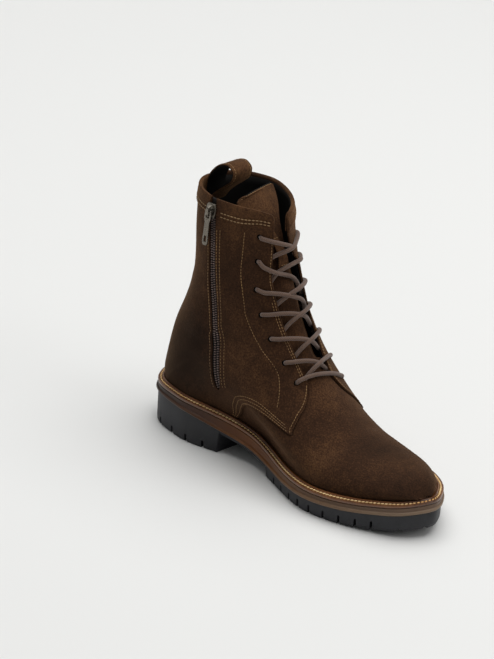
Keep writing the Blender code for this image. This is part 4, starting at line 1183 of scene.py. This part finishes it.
def laces():
    for row in range(1, len(EYELETS)):
        for sign, hump, side in ((-1, 0.0, "inner"), (1, 1.4, "outer")):
            obj = cord("lace_%d_%s" % (row, side), lace_strand(row, sign, hump), LACE / 2, lace_cotton)
            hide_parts("lace_crossing_%d" % row)
    (s0, inner), (s1, outer) = eyelet(0, -1), eyelet(0, 1)
    points = lace_end(s0, inner, 0.0)
    for k in range(1, 12):
        t = k / 12
        u = inner + (outer - inner) * (0.05 + 0.90 * t)
        h = LACE_OVER - 1.2 * math.sin(math.pi * t)
        s = s0 * (1 - t) + s1 * t - 0.003 * math.sin(math.pi * t)
        points.append(on_quarter(s, u, h) if abs(u) > 0.14 else over(s, u, h + 1.0))
    points += lace_end(s1, outer, 0.0)[::-1]
    obj = cord("lace_bottom_bar", points, LACE / 2, lace_cotton)
    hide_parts("lace_bar")


# Stitches: short lengths of thread along a line, each a rounded grain
def stitches(name, lines, pitch, radius, material, sink=0.15, slant=0.0, fill=0.45):
    spots = []
    for points, up in lines:
        p = np.array(points, float)
        up = np.array(up, float)
        at = np.concatenate([[0.0], np.cumsum(np.linalg.norm(np.diff(p, axis=0), axis=1))])
        count = max(1, int(round(at[-1] / pitch)))
        for k in range(count):
            mid = (k + 0.5) * at[-1] / count
            c, after, before = [Vector([np.interp(d, at, p[:, j]) for j in range(3)])
                                for d in (mid, min(mid + 0.5, at[-1]), max(mid - 0.5, 0))]
            t = (after - before).normalized()
            n = Vector([np.interp(mid, at, up[:, j]) for j in range(3)])
            n = (n - t * n.dot(t)).normalized()
            t = Matrix.Rotation(slant, 3, n) @ t
            spots.append((c + n * (radius * 0.4 - sink), (t, n.cross(t), n),
                          (pitch * fill, radius, radius * 0.8)))
    return finish_mesh(grains(spots), name, material, angle=None)


def seam_line(pairs, steps=60):
    """Smooth line through (s, u) pairs."""
    q = np.array(pairs, float)
    at = np.concatenate([[0.0], np.cumsum(np.linalg.norm(np.diff(q * (400, U_WIDE), axis=0), axis=1))])
    t = np.linspace(0, at[-1], steps)
    return hermite(at, q[:, 0], t), hermite(at, q[:, 1], t)


def shifted(s, u, along_s, along_u):
    """Place moved by millimetres along s and along u."""
    ms, mu = stretch(s, u)
    return s + along_s / ms, u + along_u / mu


def on_suede(s, u, height):
    """Points of a stitch row on the quarters, and the way up at each."""
    return on_quarter(s, u, height), normal(s, u)


def upper_stitching():
    lines = []
    h = QUARTER_STEP
    # beside the facings, and round the quarter's front to its tip
    for sign in (-1, 1):
        for off, last in ((FACING_ROWS[0], 0.925), (FACING_ROWS[1], 0.72)):
            s = np.linspace(0.495, last, 80)
            u = sign * (facing_edge(s) + off / U_WIDE)
            lines.append(on_suede(s, u, h + pucker(s, u)))
        u = np.linspace(0.152, 0.447, 50)
        s, u = shifted(quarter_edge(u), sign * u, 2.0, 0.0)
        lines.append(on_suede(s, u, h))
        # three rows over the lower edge
        u = np.linspace(0.46, 0.90, 60)
        wide = smooth(0.46, 0.62, u) * smooth(0.92, 0.72, u)
        for off in (1.6 + 0 * u, 3.9 + 2.2 * wide, 6.2 + 3.8 * wide):
            off = off * (1 - 0.3 * smooth(0.6, 0.9, u))
            s, v = shifted(quarter_edge(u), sign * u, off * 0.9, -sign * off * 0.45 * smooth(0.66, 0.50, u))
            lines.append(on_suede(s, v, h))
    # long seams down the quarters
    for points in SEAMS.values():
        lines.append(on_suede(*seam_line(points), h - 0.25))
    # beside the zip
    s = np.linspace(ZIP_END + 0.002, 0.955, 90)
    for off in ZIP_ROWS:
        lines.append(on_suede(*beside_zip(s, off), h - 0.1))
    stitches("upper_stitching", lines, 2.3, 0.34, thread)
    band = []
    for sign in (-1, 1):
        for off in BAND_ROWS:
            parts = [np.linspace(0.165, 0.985, 120)]
            if sign < 0:
                mid = abs(float(zip_u(0.97)))
                parts = [np.linspace(0.165, mid - 0.055, 60), np.linspace(mid + 0.055, 0.985, 60)]
            for part in parts:
                s, v = shifted(rim(sign * part), sign * part, -off * nearer(part), 0.0)
                band.append(on_suede(s, v, BAND_STEP + 0.5))
    stitches("collar_stitching", band, 2.9, 0.5, pale_thread)


# Welt, midsole and insole follow the outline all round
def ring_piece(name, profile, material, lip=()):
    """Closed ring round the outline. profile gives an inset, a height and what is added to it."""
    rows = len(profile)

    def row_of(b):
        return np.mod(np.rint(b * rows).astype(int), rows)

    def place(a, b):
        k = row_of(b)
        out = np.zeros((len(a), 3))
        for i, (inset, height, more) in enumerate(profile):
            pick = k == i
            x, y = edge_point(a[pick], inset)
            out[pick] = np.stack([x, y, height(x) + more], 1)
        return out

    def shade(a, b):
        return np.isin(row_of(b), lip).astype(float)

    bm = laid(360, rows, place, None, shade)
    weld(bm, 0.005)
    bmesh.ops.recalc_face_normals(bm, faces=bm.faces)
    return finish_mesh(bm, name, material, angle=35)


def sole():
    low, top = welt_bottom, welt_top
    welt = ring_piece("stitched_welt", (
        (0.9, low, 0.0), (0.25, low, 0.2), (0.0, low, 0.8),
        (0.05, top, -0.6), (0.3, top, -0.15), (0.8, top, 0.0),
        # stitch groove
        (1.3, top, -0.1), (1.7, top, -0.5), (2.2, top, -0.65), (2.8, top, -0.5),
        # storm ridge
        (3.2, top, 0.1), (3.45, top, 0.8), (3.8, top, 1.25), (4.3, top, 1.35), (4.75, top, 1.0),
        (5.0, top, 0.0), (11.0, top, 0.0), (11.0, low, 0.0)), welt_brown)
    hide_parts("welt")
    low, top = midsole_bottom, midsole_top
    mid = ring_piece("brown_midsole", (
        (14.0, low, 0.0),
        # flared lip
        (0.8, low, 0.0), (-0.3, low, 0.25), (-0.85, low, 0.9), (-0.9, low, 1.6), (-0.75, low, 2.3),
        (-0.2, low, 2.8),
        (0.35, low, 3.1), (0.5, low, 3.6), (0.35, top, -0.9), (0.5, top, -0.3), (0.9, top, 0.0),
        (14.0, top, 0.0)), midsole_brown, (1, 2, 3, 4, 5, 6))
    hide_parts("midsole")
    x, y = edge_point(np.linspace(0, 1, 1200), 2.25)
    line = np.stack([x, y, welt_top(x) - 0.6], 1)
    up = np.tile((0.0, 0.0, 1.0), (len(x), 1))
    stitches("welt_stitching", [(line, up)], 2.9, 0.74, welt_thread, -0.3, 0.34, 0.52)


def footbed():
    inset = 8.7

    def place(a, b):
        x0, x1 = FEATHER_HEEL + 2.4, FEATHER_TOE - 3.0
        x = x0 + (x1 - x0) * (1 - np.cos(np.pi * b)) / 2
        y0 = side_y(x, inset, False)
        y1 = side_y(x, inset, True)
        w = 2 * a - 1
        y = (y0 + y1) / 2 + (y1 - y0) / 2 * w
        z = welt_top(x) + 3.0 + 2.0 * np.abs(w)**3
        return np.stack([x, y, z], 1)

    bm = laid(24, 90, place)
    face_out(bm, lambda c: c - Vector((0, 0, 1)))
    bed = finish_mesh(bm, "footbed", board)
    thicken(bed, 1.0)
    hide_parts("insole")


# Pull loop: a strap of suede with a lining behind it
def pull_loop():
    c = closed_curve(LOOP, 8)
    turn = np.roll(c, -1, 0) - np.roll(c, 1, 0)
    turn /= np.linalg.norm(turn, axis=1)[:, None]
    out = np.stack([-turn[:, 1], turn[:, 0]], 1)
    if ((c + out - c.mean(0))**2).sum() < ((c - c.mean(0))**2).sum():
        out = -out
    n = len(c)
    for name, low, high, mat, half in (("pull_loop_suede", 0.0, 0.85, suede, 9.5),
                                       ("pull_loop_lining", -0.85, -0.1, lining, 9.2)):
        # the strap's section: across its width, and out from its middle line
        rows = np.array((
            (-half, low), (-half, high - 0.3), (-half + 0.4, high), (0.0, high), (half - 0.4, high),
            (half, high - 0.3), (half, low), (0.0, low)))

        def place(a, b):
            i = np.mod(np.rint(a * n).astype(int), n)
            w, h = rows[np.mod(np.rint(b * len(rows)).astype(int), len(rows))].T
            return np.stack([c[i, 0] + out[i, 0] * h, w - 0.5, c[i, 1] + out[i, 1] * h], 1)

        bm = laid(n, len(rows), place)
        weld(bm, 0.005)
        bmesh.ops.recalc_face_normals(bm, faces=bm.faces)
        obj = finish_mesh(bm, name, mat, angle=50)
        if mat is suede:
            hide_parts("pull_loop")
    lines = []
    for w in (-8.0, 7.0):
        p = np.stack([c[:, 0] + out[:, 0] * 0.85, np.full(n, w), c[:, 1] + out[:, 1] * 0.85], 1)
        lines.append((p, np.stack([out[:, 0], 0 * out[:, 0], out[:, 1]], 1)))
    stitches("pull_loop_stitching", lines, 2.4, 0.3, thread)


# Zip
def zip_piece():
    def place(a, b):
        z = 52.5 + (195.5 - 52.5) * b
        s = np.interp(z, ZIP_HEIGHTS, ZIP_LINE[:, 0])
        w = (a - 0.5) * 2 * (ZIP_HALF + 2.6)
        return over(*beside_zip(s, w), -0.9)

    bm = laid(6, 120, place)
    face_out(bm, inside_line)
    tape = finish_mesh(bm, "zip_tape_cloth", tape_cloth)
    thicken(tape, 0.6)
    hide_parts("zip_tape")
    # two rows of coil turns that meet in the middle
    pitch = 1.75
    spots = []
    for side in (-1, 1):
        z = np.arange(55.0, 181.0, pitch) + (0.85 if side > 0 else 0.0)
        s = np.interp(z, ZIP_HEIGHTS, ZIP_LINE[:, 0])
        v, t = beside_zip(s, side * 1.3)
        c = over(v, t, -0.25)
        for at, up, face in zip(c, np.gradient(c, axis=0), normal(v, t)):
            face = Vector(face)
            across = Vector(up).cross(face).normalized()
            spots.append((Vector(at), (across, face.cross(across), face), (1.12, 0.52, 0.8)))
    finish_mesh(grains(spots), "zip_coil", coil_nylon, angle=None)


# Keeper: a short strap across the tongue, arched so that the lace goes under it
KEEPER_LOW = 5.35                       # the tongue's step at its lower end
KEEPER_LONG = 1.55


def keeper_arch(up):
    """How far the strap stands off the tongue, from its lower end (0) to its upper one (1)."""
    return 4.2 * np.sin(np.pi * up)**0.8


def keeper():
    def place(a, b):
        w = (2 * a - 1) * 5.2 / 28.0
        return tongue_point(KEEPER_LOW + KEEPER_LONG * b, w, -(0.95 + keeper_arch(b)) - 1.2)

    bm = laid(10, 30, place)
    face_out(bm, behind_tongue)
    lines = []
    w = np.linspace(-0.13, 0.13, 12)
    for step in (5.52, 6.73):
        high = 2.45 + keeper_arch((step - KEEPER_LOW) / KEEPER_LONG)
        row = tongue_point(np.full(12, step), w, np.full(12, -high))
        lines.append((row, np.tile((0.9, -0.1, 0.4), (12, 1))))
    stitches("keeper_stitching", lines, 2.2, 0.36, thread)
    obj = finish_mesh(bm, "lace_keeper_strap", suede)
    # the strap is painted lighter than the tongue: painted light on the raised strap over the shaded tongue
    for entry in obj.data.attributes["tone"].data:
        entry.value += 0.14
    thicken(obj, 1.1, 0.3)
    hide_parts("lace_keeper")


vamp()
quarter_piece = quarters()
lining_piece()
collar_band()
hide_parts("upper")
tongue()
keeper()
laces()
upper_stitching()
sole()
footbed()
pull_loop()
zip_piece()


def rounded_copy(node, name, material, body, width):
    """A copy of a solid with its edges rounded."""
    bm = bmesh.new()
    bm.from_mesh(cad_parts[node].data)
    bmesh.ops.remove_doubles(bm, verts=bm.verts, dist=1e-6)
    bmesh.ops.dissolve_limit(bm, angle_limit=math.radians(0.5), verts=bm.verts, edges=bm.edges)
    for v in bm.verts:
        v.co = Vector((v.co.x * 1000 + CENTRE_X, v.co.y * 1000 + CENTRE_Y, v.co.z * 1000))
    obj = finish_mesh(bm, name, material, body, 35)
    soften(obj, width, 40)
    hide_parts(node)


rounded_copy("zip_slider", "slider_body", nickel, "boot", 0.25)
rounded_copy("zip_pull", "pull_tab_nickel", nickel, "pull_tab", 0.22)
rounded_copy("lug_outsole", "lugged_outsole", rubber, "boot", 0.4)


# Floor and studio light
def studio():
    bm = bmesh.new()
    bmesh.ops.create_grid(bm, x_segments=1, y_segments=1, size=30.0)
    mesh = bpy.data.meshes.new("floor")
    bm.to_mesh(mesh)
    bm.free()
    floor = bpy.data.objects.new("floor", mesh)
    bpy.context.scene.collection.objects.link(floor)
    mat, tree = new_material("pale_floor")
    shader = add(tree, "ShaderNodeBsdfPrincipled", None, {
        "Base Color": linear("e4e4e2"), "Roughness": 0.8, "Specular IOR Level": 0.1})
    add(tree, "ShaderNodeOutputMaterial", None, {"Surface": shader.outputs[0]})
    mesh.materials.append(mat)
    world = bpy.data.worlds.new("studio")
    world.use_nodes = True
    world.node_tree.nodes["Background"].inputs["Color"].default_value = linear("f4f5f6")
    world.node_tree.nodes["Background"].inputs["Strength"].default_value = 0.22
    bpy.context.scene.world = world
    # soft lights: name, place and size in metres, power in watts
    for name, at, size, power in (
            ("overhead", (0.0, 0.45, 2.7), 3.2, 88.0),
            ("side", (2.3, 0.6, 1.6), 1.6, 13.0),
            ("rim", (-1.7, 0.9, 1.7), 1.2, 4.0)):
        data = bpy.data.lights.new(name, "AREA")
        data.size = size
        data.energy = power
        obj = bpy.data.objects.new(name, data)
        obj.location = at
        obj.rotation_mode = "QUATERNION"
        obj.rotation_quaternion = (Vector(at) - Vector((0, 0, 0.08))).to_track_quat("Z", "Y")
        bpy.context.scene.collection.objects.link(obj)


studio()
bpy.context.scene.view_settings.view_transform = "Standard"
bpy.context.view_layer.update()
